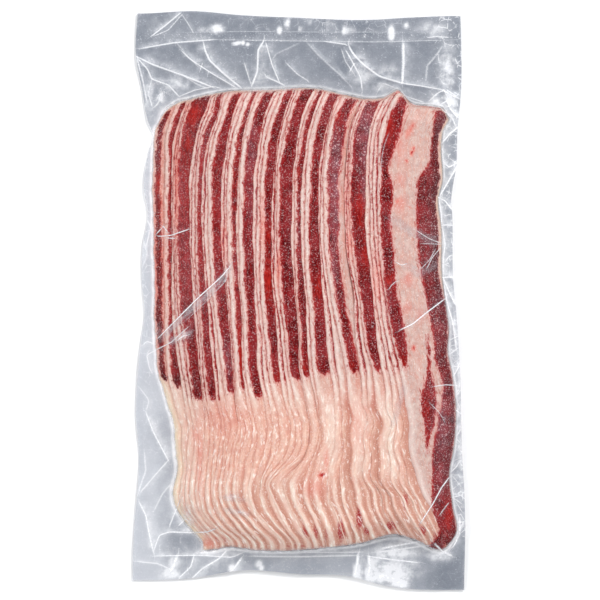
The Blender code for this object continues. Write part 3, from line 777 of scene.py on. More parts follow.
def slice_marks(number, x, y, from_left, from_right, from_head):
    """What the meat's finish reads at each point of a slice, by name."""
    is_last = number == LAST
    lines = edges_at(y, LEFT_EDGES)
    following = right_side(y) if is_last else lines[..., number + 1]
    shown = following - lines[..., number]
    low = fade(y, -46, -62)
    deep = ease((-80 - y + 0.35 * x) / 40)
    # painted shade in the hollow in front of the next slice, and a painted highlight on the crest of the rim
    hollow_shade = np.exp(-np.clip(following - x, 0, 9) / (0.35 + 0.5 * low))
    hollow_shade = hollow_shade * (0.45 - 0.1 * low + 0.6 * low * deep)
    hollow_shade = np.maximum(hollow_shade, low * deep * fade(from_left / np.maximum(shown, 2.4), 0.45, 0.95))
    hollow_shade = hollow_shade * (0.25 if is_last else 1.0)
    top_of_rim = np.clip(0.36 * shown, 0.7, 1.5 + 0.7 * low)
    crest_highlight = np.exp(-(((from_left - top_of_rim) / np.clip(0.32 * shown, 0.5, 1.1 + 0.8 * low)) ** 2))
    # between the lean and the foot, most of all on the left, the rims lie so flat that their painted
    # highlight and shade hardly show
    plain = fade(y, -54, -70) * fade(y, -116, -98) * (1 - 0.65 * fade(x, 5, 35))
    crest_highlight, hollow_shade = crest_highlight * (1 - 0.7 * plain), hollow_shade * (1 - 0.7 * plain)
    # more painted highlight on the rims on the left of the fatty third
    crest_highlight = crest_highlight + 0.35 * low * fade(x, -50, -64)
    # the ridges' own painted highlight and painted shade
    ridges = gathered(x.ravel(), y.ravel(), edges_at(y.ravel(), LEFT_EDGES))[1:]
    group_crest_highlight, group_hollow_shade, amount = (values.reshape(x.shape) for values in ridges)
    crest_highlight = crest_highlight * (1 - 0.65 * amount) + group_crest_highlight
    hollow_shade = hollow_shade * (1 - 0.65 * amount) + group_hollow_shade
    # painted shade deeper in the hollows on the right and fainter on the left
    hollow_shade = hollow_shade * (1 + low * (0.4 * fade(x, 10, 40) - 0.45 * fade(x, -30, -50)))
    # how far inside the pile's own outline the point lies, where the fat turns tan and the lean is painted
    # darker as shade
    at_head = from_head * (1 + 2.5 * fade(x, -60, -35)) + 0.5
    outer = np.minimum(from_right + 3 * fade(y, 20, -10), at_head)
    outer = np.minimum(outer, from_left + 1.2 if number == 0 else 9.0)
    outer = np.where(y < -45, np.minimum(outer, 0.35 * (x - lines[..., 0]) + 0.5), outer)
    warm = 0.0 if is_last else fade(y, -30, -80)
    return {
        "lean": np.clip(lean_of(number, x, y, from_left, from_right, from_head, shown), -4, 4),
        # painted highlight on the crest of each rim and painted shade in the hollow before the next slice
        "crest_highlight": np.clip(crest_highlight, 0, 1),
        "hollow_shade": np.clip(hollow_shade, 0, 1),
        # a reddish cut edge, darkened as painted shade in the step at each slice's left edge
        "cut_edge_and_shade": np.exp(-from_left / 0.4) * (1 - 0.75 * low),
        "outer": np.clip(outer, 0, 9),
        "flush": patches(x, y, FLUSHES),
        "drip": patches(x, y, DRIPS) * np.clip(hollow_shade * 2.4, 0, 1),
        "slight": np.full(x.shape, 0.45 if is_last else 1.0),
        "wet": patches(x, y, WET_PATCHES),
        "frost": patches(x, y, FROST_PATCHES),
        "warm": np.clip(warm + 0.35 * fade(x, -60, -85), 0, 1),
        "grain": np.stack([from_left, y, np.full(x.shape, number * 17.3)], axis=2),
    }


def beef_slice(number, chance):
    """One slice: a sheet 2 mm thick whose rim stands on the slices before it."""
    x, y, *distances = slice_grid(number, chance)
    upper, lower = slice_faces(number, x, y, *distances)
    piece, at = closed_sheet(f"beef_slice_{number + 1:02d}", x, y, upper, lower)
    mark(piece, at, slice_marks(number, x, y, *distances[:3]))
    return piece


# ---------------------------------------------------------------- the bag

# How many rows the film has beyond the pile's head, along the pile and beyond its foot, and how many columns
# at its left, on the last slice and at its right.
HEAD_STEPS, PILE_STEPS, FOOT_STEPS = 46, 134, 18
LEFT_STEPS, LAST_STEPS, RIGHT_STEPS = 14, 20, 9
# The film lies this far above the slices, and no steeper than the slope at the foot of an edge.
CLING = 0.3
CLING_SHIFTS = (-1.8, -1.2, -0.6, -0.3, 0.0, 0.3, 0.6, 1.2, 1.8)
CLING_SLOPE = 1.1


def film_column(place, part, y):
    """x of one of the film's columns on the lines at y: columns follow the hems and the slices' edges."""
    inside_y = np.clip(y, PILE_FOOT_Y, PILE_HEAD_Y)
    edges = edges_at(inside_y, LEFT_EDGES)
    right = right_side(inside_y)
    if place == "left":
        hem = through(LEFT_HEM, y)
        return hem + (edges[:, 0] - hem) * part
    if place == "right":
        return right + (through(RIGHT_HEM, y) - right) * part
    if place == LAST:
        return edges[:, -1] + (right - edges[:, -1]) * part
    gap = edges[:, place + 1] - edges[:, place]
    offsets = (
        np.minimum(0.15, 0.1 * gap),
        np.minimum(0.9, 0.4 * gap),
        0.62 * gap,
        gap - np.minimum(0.55, 0.25 * gap),
    )
    return edges[:, place] + offsets[part]


def film_grid():
    """Where the film's points lie: its columns follow the hems and the slices, its rows the ends of both."""
    columns = [("left", share) for share in np.linspace(0, 1, LEFT_STEPS + 1)[:-1] ** 0.85]
    columns += [(number, part) for number in range(LAST) for part in range(4)]
    columns += [(LAST, share) for share in np.linspace(0, 1, LAST_STEPS + 1)]
    columns += [("right", share) for share in np.linspace(0, 1, RIGHT_STEPS + 1)[1:]]
    even = np.linspace(0, 1, PILE_STEPS + 1)
    shares = np.concatenate([
        np.linspace(0, 1, HEAD_STEPS + 1)[:-1] ** 0.95,
        even - 0.12 / (2 * math.pi) * np.sin(2 * math.pi * even),
        np.linspace(0, 1, FOOT_STEPS + 1)[1:],
    ])
    zone = np.repeat((0, 1, 2), (HEAD_STEPS, PILE_STEPS + 1, FOOT_STEPS))
    row = np.arange(len(zone))

    def line(x):
        limits = np.stack([through(HEAD_HEM, x), head_end(x), foot_end(x), through(FOOT_HEM, x)])
        starts, ends = limits[zone, row], limits[zone + 1, row]
        return starts + (ends - starts) * shares

    x = np.zeros((len(row), len(columns)))
    for number, (place, part) in enumerate(columns):
        # a column's x depends on y and a row's y on x, so both are found in turns
        for _ in range(4):
            x[:, number] = film_column(place, part, line(x[:, number]))
    return x, np.stack([line(column) for column in x.T], axis=1)


def clinging(x, y):
    """The film's height over the slices: it bridges the corner at the foot of each slice's edge."""
    highest = np.full_like(x, -1.0)
    for shift in CLING_SHIFTS:
        highest = np.maximum(highest, visible_height(x + shift, y) - CLING_SLOPE * abs(shift))
    return highest + CLING


FOLD_POINTS = 20


def along_fold(points):
    """Points close together on the straight runs between a fold's few points."""
    run = np.concatenate([[0.0], np.cumsum(np.hypot(*np.diff(points, axis=0).T))])
    at = np.linspace(0, run[-1], FOLD_POINTS)
    return np.interp(at, run, points[:, 0]), np.interp(at, run, points[:, 1])


def from_fold(x, y, points):
    """How far each point lies from a fold, with a sign for its side, and how far along the fold it is."""
    line_x, line_y = along_fold(points)
    nearest = np.full(x.shape, 1e9)
    signed = np.full(x.shape, 1e9)
    share = np.zeros_like(x)
    count = len(line_x) - 1
    for k in range(count):
        run_x, run_y = line_x[k + 1] - line_x[k], line_y[k + 1] - line_y[k]
        length = max(math.hypot(run_x, run_y), 1e-6)
        off_x, off_y = x - line_x[k], y - line_y[k]
        part = np.clip((off_x * run_x + off_y * run_y) / length**2, 0, 1)
        far = np.hypot(off_x - part * run_x, off_y - part * run_y)
        side = np.where(run_x * off_y - run_y * off_x >= 0, 1.0, -1.0)
        closer = far < nearest
        nearest = np.where(closer, far, nearest)
        signed = np.where(closer, far * side, signed)
        share = np.where(closer, (k + part) / count, share)
    return signed, share


# The film's finish reads six groups of folds. A fold shows this far to its sides, and two that come nearer
# than the clearance belong to different groups where they can.
FOLD_GROUPS = 6
FOLD_REACH = 7.0
FOLD_CLEARANCE = 4.5
FAR_OFF = 30.0


def fold_marks(x, y, folds):
    """How the folds show at each point.

    For each group of folds, the distance from the nearest in its own widths and its strength; then the
    height, and the haze and painted light, that all of them give the film.
    """
    distance = np.full((FOLD_GROUPS, len(x)), FAR_OFF)
    strength = np.zeros((FOLD_GROUPS, len(x)))
    height, haze_and_shine = np.zeros_like(x), np.zeros_like(x)
    for bright, width, tall, *run in folds:
        points = np.reshape(run, (-1, 2))
        low, high = points.min(axis=0) - FOLD_REACH, points.max(axis=0) + FOLD_REACH
        near = np.flatnonzero((x > low[0]) & (x < high[0]) & (y > low[1]) & (y < high[1]))
        signed, share = from_fold(x[near], y[near], points)
        taper = np.clip(np.minimum(share, 1 - share) * 7 + 0.15, 0, 1) ** 0.7
        far = np.abs(signed)
        mark_here = bright * taper * ease((FOLD_REACH - far) / 2)
        height[near] += tall * taper * (np.exp(-((signed / 1.1) ** 2)) + 0.3 * np.exp(-((signed / 3.6) ** 2)))
        # one side of each fold is painted paler, as if lit
        lit_side = np.where(signed > 0, 0.3 * np.exp(-far / 4.0), 0.0)
        haze_and_shine[near] = np.maximum(haze_and_shine[near], bright * taper * (0.2 * np.exp(-far / 1.2) + lit_side))
        # a fold goes to the group in which fewest others run near it
        close = near[far < FOLD_CLEARANCE]
        clash = [(strength[group, close] > 0.02).sum() for group in range(FOLD_GROUPS)]
        group = int(np.argmin(clash))
        nearer = far / width < np.abs(distance[group, near])
        distance[group, near[nearer]] = (signed / width)[nearer]
        strength[group, near[nearer]] = mark_here[nearer]
    return distance, strength, height, haze_and_shine


SIDE_FOLDS_FROM_Y = -24.0
SIDE_FOLDS_TO_Y = -140.0


def side_folds(chance):
    """Folds down the lower right margin, from pinches at the meat to the hem, at uneven distances."""
    folds = []
    y = SIDE_FOLDS_FROM_Y
    while y > SIDE_FOLDS_TO_Y:
        start = (float(right_side(y)) + 0.4, y)
        hem = float(through(RIGHT_HEM, y))
        for turn in chance.uniform(-1.6, 1.6, int(chance.integers(1, 4))):
            end = (hem - chance.uniform(-0.4, 1.6), y + turn * 6.5)
            middle = (0.5 * (start[0] + end[0]) + chance.uniform(-0.5, 0.5), y + turn * 2.8)
            folds.append((chance.uniform(0.15, 0.6), 0.5, chance.uniform(0.3, 0.6), *start, *middle, *end))
        y -= chance.uniform(6.0, 19.0)
    return folds


# The crumples are cells of about 6 mm, scattered over the whole bag.
CELLS = 1900
CELLS_CORNER = np.array((101, 176))
CRUMPLE_HEIGHT = 0.75


def crumpled(x, y, amount, chance):
    """Small crumples: the film stands highest where two cells meet."""
    cells = chance.uniform(-CELLS_CORNER, CELLS_CORNER, (CELLS, 2))
    lift = np.zeros_like(x)
    where = np.flatnonzero(amount > 0.02)
    for part in np.array_split(where, 40):
        far = np.hypot(x[part, None] - cells[None, :, 0], y[part, None] - cells[None, :, 1])
        two = np.partition(far, 1, axis=1)[:, :2]
        lift[part] = CRUMPLE_HEIGHT * np.exp(-(two[:, 1] - two[:, 0]) / 1.2)
    return lift * amount


def film_height(x, y, outside, over):
    """How high the film lies: on the slices, and from their edge down to its own flat margin."""
    across, sway, drift_along, drift, aslant = WAVE_RUNS
    wave = np.sin(x / across + 0.6 * np.sin(y / sway)) * np.sin(y / drift_along + x / drift)
    wave = FILM_WAVE * (wave + 0.5 * np.sin((x - 1.4 * y) / aslant)) * (1 - np.exp(-outside / 4))
    lifted = np.clip(over - FILM_REST, 0, FILM_LIFT)
    drop = (over - FILM_REST - lifted) * np.exp(-outside / 1.6)
    margin = FILM_REST + wave + lifted * np.exp(-outside / FILM_LIFT_RUN) + drop
    return np.where(outside > 0, margin, over)


def film_tone(x, y, outside):
    """How pale the double film is: palest beside the meat, where it is painted paler against the shade on its
    steep wall, and at the left, darker at the head and right.
    """
    tone = 0.22 + 0.62 * fade(x, -74, -90) * fade(y, 112, 72) - 0.17 * fade(x, 80, 86)
    tone = tone + 0.14 * fade(y, -150, -154) * fade(x, 60, 30) - 0.14 * fade(x, 74, 79) * fade(y, -152, -156)
    tone = tone + 0.10 * fade(y, 150, 130) * fade(x, -60, -80) - 0.21 * fade(y, 112, 124)
    # painted light: beside the meat the film is painted paler, to lighten the shade on its steep wall
    return tone + 0.8 * np.where(outside > 0, np.exp(-outside / 2.6), 0.0)


def bag(chance):
    """The film: one closed bag, clinging to the slices and flat round them."""
    grid_x, grid_y = film_grid()
    x, y = grid_x.ravel(), grid_y.ravel()
    inside_y = np.clip(y, PILE_FOOT_Y, PILE_HEAD_Y)
    left, right = edges_at(inside_y, LEFT_EDGES)[:, 0], right_side(inside_y)
    on_x = np.clip(x, left + 0.01, right - 0.01)
    foot, head = foot_end(on_x), head_end(on_x)
    on_y = np.clip(y, foot, head)
    outside = np.hypot(x - on_x, y - on_y)
    inside = np.minimum(np.minimum(x - left, right - x), np.minimum(y - foot, head - y))
    off_meat = outside > 0
    margin = ease(outside / MARGIN_RUN)
    rough = 0.1 + 0.9 * fade(x, 78, 86) * fade(y, -150, -140) + patches(x, y, CRUMPLES)
    rough = margin * np.clip(rough, 0, 1)

    distance, strength, height, haze_and_shine = fold_marks(x, y, FOLDS + tuple(side_folds(chance)))
    upper = film_height(x, y, outside, clinging(on_x, on_y)) + np.where(off_meat, 1.0, 0.45) * height
    upper = np.maximum(upper + crumpled(x, y, rough, chance), FILM_LEAST)
    low, high = HEAD_SEAL
    sealed = fade(y, low - SEAL_EDGE, low + SEAL_EDGE) * fade(y, high + SEAL_EDGE, high - SEAL_EDGE)
    below = np.maximum(upper - FILM_THICKNESS + SEAL_THINNER * sealed, UNDERSIDE)
    parted = 1 - np.exp(-outside / 7.0)
    lower = np.where(off_meat, UNDERSIDE + (below - UNDERSIDE) * parted, UNDERSIDE)

    # how milky the film is and how pale, first off the meat, then in the bands over it
    veil, tone = 0.004 + 0.6 * margin, film_tone(x, y, outside)
    for half_width, doubled, paler, *run in BANDS:
        signed, share = from_fold(x, y, np.reshape(run, (-1, 2)))
        here = ease((half_width - np.abs(signed)) / 1.2 + 0.5) * ease(np.minimum(share, 1 - share) * 8 + 0.2)
        veil = np.maximum(veil, doubled * here)
        tone = tone + paler * here * (1 - margin)
    # haze: along the folds with painted light, fainter at the head; painted highlight beside the meat's edge
    # and where the film turns over it
    at_head = 1 - 0.4 * fade(y, 116, 124)
    edge = (0.45 + 0.45 * fade(y, -134, -142)) * np.exp(-(((outside - 0.9) / 0.9) ** 2))
    turned_highlight = 0.42 * np.exp(-((np.maximum(inside, 0) / 0.6) ** 2))
    haze_and_shine = haze_and_shine * at_head
    haze_and_shine = np.where(off_meat, np.maximum(haze_and_shine, edge), np.maximum(0.35 * haze_and_shine, turned_highlight))
    marks = {
        "veil": veil,
        "tone": np.clip(tone, 0, 1),
        # the film's haze with painted shine, painted highlights at the meat's edge and painted light beside
        # the folds
        "haze_and_shine": np.clip(np.maximum(patches(x, y, PAINTED_SHINES), haze_and_shine), 0, 1),
        "crumple": rough,
        "seal": sealed,
    }
    for name, group in (("fold_a", slice(0, 3)), ("fold_b", slice(3, 6))):
        marks[name + "_distance"] = distance[group].T
        marks[name + "_strength"] = (strength[group] * at_head).T

    shape = grid_x.shape
    piece, at = closed_sheet("bag_film", grid_x, grid_y, upper.reshape(shape), lower.reshape(shape))
    mark(piece, at, {name: values.reshape(*shape, *values.shape[1:]) for name, values in marks.items()})
    return piece


# ---------------------------------------------------------------- finishes


def srgb(code):
    """A hex colour as linear light."""
    values = [int(code[k : k + 2], 16) / 255 for k in (1, 3, 5)]
    return (*[v / 12.92 if v <= 0.04045 else ((v + 0.055) / 1.055) ** 2.4 for v in values], 1.0)


def join(tree, node, inputs):
    """Gives a node its values and its links."""
    for name, value in inputs.items():
        if isinstance(value, bpy.types.NodeSocket):
            tree.links.new(value, node.inputs[name])
        else:
            node.inputs[name].default_value = value


def add(tree, kind, inputs, out=0, **settings):
    """Adds a node with its settings, its values and its links, and gives the output that is wanted."""
    new = tree.nodes.new("ShaderNode" + kind)
    for name, value in settings.items():
        setattr(new, name, value)
    join(tree, new, inputs)
    return new.outputs[out]


def new_material(name):
    """An empty material with its Principled shader joined to its output."""
    material = bpy.data.materials.new(name)
    material.use_nodes = True
    tree = material.node_tree
    tree.nodes.clear()
    shader = tree.nodes.new("ShaderNodeBsdfPrincipled")
    output = tree.nodes.new("ShaderNodeOutputMaterial")
    tree.links.new(shader.outputs[0], output.inputs[0])
    return material, tree, shader


def beef_material():
    """Raw short plate of beef, sliced cold and packed wet: dark lean between bands of firm pinkish fat.

    The lean is deep red where the film touches it wet, and greyed by fine frost elsewhere. The fat is pale
    and creamy, rosier beside the lean. Both are soft and let light in, under a wet gloss.
    """
    material, tree, shader = new_material("sliced raw beef short plate")
    lean, crest_highlight, hollow_shade, outer, flush, wet, frost, warm, cut_edge_and_shade, drip, slight = (
        add(tree, "Attribute", {}, out=2, attribute_name=name)
        for name in (
            "lean", "crest_highlight", "hollow_shade", "outer", "flush", "wet", "frost", "warm", "cut_edge_and_shade", "drip", "slight",
        )
    )
    grain = add(tree, "Attribute", {}, out=1, attribute_name="grain")
    place = add(tree, "TexCoord", {}, out=3)
    mm = add(tree, "VectorMath", {0: place, 1: (1000, 1000, 1000)}, operation="MULTIPLY")
    long_way, streak_way, slow_way, strand_way = (
        add(tree, "VectorMath", {0: grain, 1: (across, along, 1.0)}, operation="MULTIPLY")
        for across, along in ((1.0, 0.3), (0.42, 0.085), (0.06, 0.045), (1.25, 0.12))
    )

    # patterns, with their scales in repeats to the millimetre: 5 to 10 mm clouds, 2 mm teeth along the
    # edge of the lean, 1 mm fibres three times as long as they are wide, and frost flecks 0.6 mm wide,
    # which are really crystals a tenth as wide, too fine to show one by one
    pattern = {
        name: add(tree, "TexNoise", {"Vector": way, "Scale": scale, "Detail": detail, "Roughness": rough})
        for name, way, scale, detail, rough in (
            ("cloud", grain, 0.11, 2.0, 0.5),
            ("mottle", mm, 0.3, 3.0, 0.6),
            ("teeth", grain, 0.5, 4.0, 0.7),
            ("fibre", long_way, 1.05, 2.0, 0.6),
            ("thread", long_way, 0.75, 2.0, 0.6),
            ("fleck", mm, 1.15, 2.0, 0.6),
            ("streak", streak_way, 1.0, 4.0, 0.65),
            ("swell", slow_way, 1.0, 2.0, 0.5),
            ("strand", strand_way, 1.0, 2.0, 0.6),
        )
    }
    curl = add(tree, "TexNoise", {"Vector": mm, "Scale": 0.5, "Detail": 1.0, "Distortion": 0.5})

    # where the lean is, toothed by up to 1 mm and threaded with fat
    toothed, threaded, swollen = (
        add(tree, "Math", {0: pattern[name], 1: reach, 2: -0.5 * reach}, operation="MULTIPLY_ADD")
        for name, reach in (("teeth", 2.6), ("thread", 3.4), ("swell", 2.2))
    )
    threaded = add(tree, "Math", {0: threaded, 1: swollen}, operation="ADD")
    pattern["toothed"] = add(tree, "Math", {0: lean, 1: toothed}, operation="ADD")
    pattern["threaded"] = add(tree, "Math", {0: pattern["toothed"], 1: threaded}, operation="ADD")
    lean_share = add(
        tree, "MapRange", {0: pattern["threaded"], 1: -0.42, 2: 0.42, 3: 0.0, 4: 1.0},
        interpolation_type="SMOOTHSTEP",
    )
    off_curl = add(tree, "Math", {0: curl, 1: 0.5}, operation="SUBTRACT")
    pattern["off curl"] = add(tree, "Math", {0: off_curl}, operation="ABSOLUTE")
    pooled = add(tree, "Math", {0: drip, 1: flush}, operation="MAXIMUM")
    pattern["pooled"] = add(tree, "Math", {0: pooled, 1: pattern["thread"]}, operation="ADD")
    pattern.update({"outer": outer, "wet": wet})

    # how strongly each finish shows, read off one of the patterns
    share = {
        name: add(tree, "MapRange", {0: pattern[source], 1: low, 2: high, 3: least, 4: most})
        for name, source, low, high, least, most in (
            ("fibrous", "fibre", 0.36, 0.64, 0.0, 1.0),
            ("rosier", "cloud", 0.42, 0.62, 0.0, 0.36),
            ("thin", "threaded", 0.2, 1.5, 0.75, 0.0),
            ("in shade", "outer", 2.0, 9.0, 0.75, 0.0),
            ("patchy", "mottle", 0.36, 0.62, 0.35, 1.0),
            ("flecks", "fleck", 0.58, 0.66, 0.0, 1.0),
            ("curls", "off curl", 0.006, 0.026, 0.8, 0.0),
            ("curl gaps", "fleck", 0.44, 0.54, 0.0, 1.0),
            ("cloudy", "mottle", 0.34, 0.66, 0.0, 1.0),
            ("streaky", "streak", 0.44, 0.62, 0.0, 0.7),
            ("strands", "strand", 0.46, 0.64, 0.0, 0.7),
            ("crest here", "thread", 0.3, 0.7, 0.45, 1.0),
            ("grainy", "fibre", 0.48, 0.62, 0.0, 0.5),
            ("beside lean", "toothed", -1.5, 0.1, 0.0, 0.45),
            ("near lean", "toothed", -3.0, -0.6, 0.0, 0.85),
            ("marbled", "fibre", 0.57, 0.64, 0.0, 1.0),
            ("cut here", "teeth", 0.4, 0.62, 0.05, 0.8),
            ("tan", "outer", 0.4, 2.2, 0.8, 0.0),
            ("blood", "pooled", 1.05, 1.35, 0.0, 0.9),
            # painted highlights: white glints and short white streaks on the fat
            ("glints", "fleck", 0.6, 0.68, 0.0, 0.4),
            ("glint_streaks", "thread", 0.59, 0.69, 0.0, 0.6),
            ("rough lean", "wet", 0.0, 1.0, 0.42, 0.16),
        )
    }

    # frost: a grey veil, flecks and short curls, thickest in patches and none where it is wet
    dry = add(tree, "Math", {0: 1.0, 1: wet}, operation="SUBTRACT", use_clamp=True)
    frosty = add(tree, "Math", {0: frost, 1: 0.5, 2: 0.55}, operation="MULTIPLY_ADD")
    frosty = add(tree, "Math", {0: frosty, 1: share["patchy"]}, operation="MULTIPLY")
    frosty = add(tree, "Math", {0: frosty, 1: dry}, operation="MULTIPLY")
    for name, one, other, clamp in (
        ("curls", share["curls"], share["curl gaps"], False),
        ("veil", frost, 0.42, False),
        ("streaky", share["streaky"], slight, False),
        ("strands", share["strands"], warm, False),
        # painted highlight on the crests and painted shade in the hollows
        ("crest_lit", crest_highlight, share["crest here"], False),
        ("hollow_shaded", hollow_shade, 0.85, False),
        ("marbled", share["marbled"], share["near lean"], False),
        # the reddish cut edge with painted shade in its step
        ("cut_edge_and_shade", cut_edge_and_shade, share["cut here"], False),
        ("washed", flush, 1.15, True),
        ("glint_streaks", share["glint_streaks"], warm, False),
    ):
        share[name] = add(tree, "Math", {0: one, 1: other}, operation="MULTIPLY", use_clamp=clamp)
    speckled = add(tree, "Math", {0: share["flecks"], 1: share["curls"]}, operation="MAXIMUM")
    for name, thick in (("veil", share["veil"]), ("speckled", speckled)):
        share[name] = add(tree, "Math", {0: thick, 1: frosty}, operation="MULTIPLY", use_clamp=True)
    # painted highlights: the white glints and streaks are laid on the fat as colour
    share["glints"] = add(tree, "Math", {0: share["glints"], 1: share["glint_streaks"]}, operation="MAXIMUM")
    share.update({"wet": wet, "warm": warm, "lean": lean_share})

    # lean: fibres from dark to mid red, rosier in clouds, bright where it is thin and where it lies wet,
    # painted darker as shade near the pile's outline; fat: a painted highlight on the crest of each rim, rosy
    # clouds, painted shade in the hollow before the next slice, a reddish cut edge darkened by painted shade,
    # and painted white glints.
    # Each line lays its second colour over its first, as strongly as its share says.
    colour = {}
    for name, over, first, second in (
        ("cream", "cloudy", "#BC9C94", "#D0B8AF"),
        ("peach", "cloudy", "#DCA08D", "#E9C3AF"),
        # colours of the painted highlight on the crests and of the painted shade in the hollows
        ("crest_highlight", "warm", "#E2CFC7", "#E9D9CB"),
        ("hollow_shade", "warm", "#B8564E", "#BE8674"),
        ("rind", "warm", "#D8BEA8", "#EBDABC"),
        ("wet lean", "fibrous", "#83100F", "#B32A22"),
        ("lean", "fibrous", "#4E0508", "#7A0E12"),
        ("lean", "rosier", "lean", "#A6383C"),
        ("lean", "thin", "lean", "#A62C2A"),
        # painted shade on the lean near the pile's outline
        ("lean", "in shade", "lean", "#380407"),
        ("lean", "wet", "lean", "wet lean"),
        ("lean", "veil", "lean", "#A88490"),
        ("lean", "speckled", "lean", "#DDBDBD"),
        ("fat", "warm", "cream", "peach"),
        ("fat", "streaky", "fat", "#CC8A7B"),
        ("fat", "strands", "fat", "#CF9482"),
        ("fat", "grainy", "fat", "#C98F80"),
        # painted highlight on the crests, then painted shade in the hollows
        ("fat", "crest_lit", "fat", "crest_highlight"),
        ("fat", "hollow_shaded", "fat", "hollow_shade"),
        ("fat", "beside lean", "fat", "#CC7F7C"),
        ("fat", "marbled", "fat", "#A03A36"),
        # the reddish cut edge with painted shade in its step
        ("fat", "cut_edge_and_shade", "fat", "#A8433F"),
        ("fat", "tan", "fat", "rind"),
        ("fat", "washed", "fat", "#D7685A"),
        ("fat", "blood", "fat", "#A2262A"),
        # painted white glints
        ("fat", "glints", "fat", "#FBF3EC"),
        ("meat", "lean", "fat", "lean"),
    ):
        under, upon = (colour.get(tint) or srgb(tint) for tint in (first, second))
        colour[name] = add(tree, "Mix", {0: share[over], 6: under, 7: upon}, out=2, data_type="RGBA")
    rough = add(tree, "Mix", {0: lean_share, 2: 0.38, 3: share["rough lean"]}, data_type="FLOAT")

    # relief: fat grain, lean fibres and frost about 0.1 mm high
    relief = add(tree, "Math", {0: pattern["fleck"], 1: pattern["fibre"]}, operation="ADD")
    relief = add(tree, "Math", {0: relief, 1: pattern["mottle"]}, operation="ADD")
    bump = add(tree, "Bump", {"Strength": 0.5, "Distance": 0.0002, "Height": relief})
    # the film clings wet, so the meat has hardly a gloss of its own: the coat is the film's
    join(tree, shader, {
        "Base Color": colour["meat"], "Roughness": rough, "Normal": bump, "IOR": 1.4,
        "Subsurface Weight": 0.12, "Subsurface Radius": (1.0, 0.35, 0.25), "Subsurface Scale": 0.0016,
        "Specular IOR Level": 0.05, "Coat Weight": 0.1, "Coat Roughness": 0.06, "Coat IOR": 1.5,
        "Coat Normal": bump,
    })
    return material


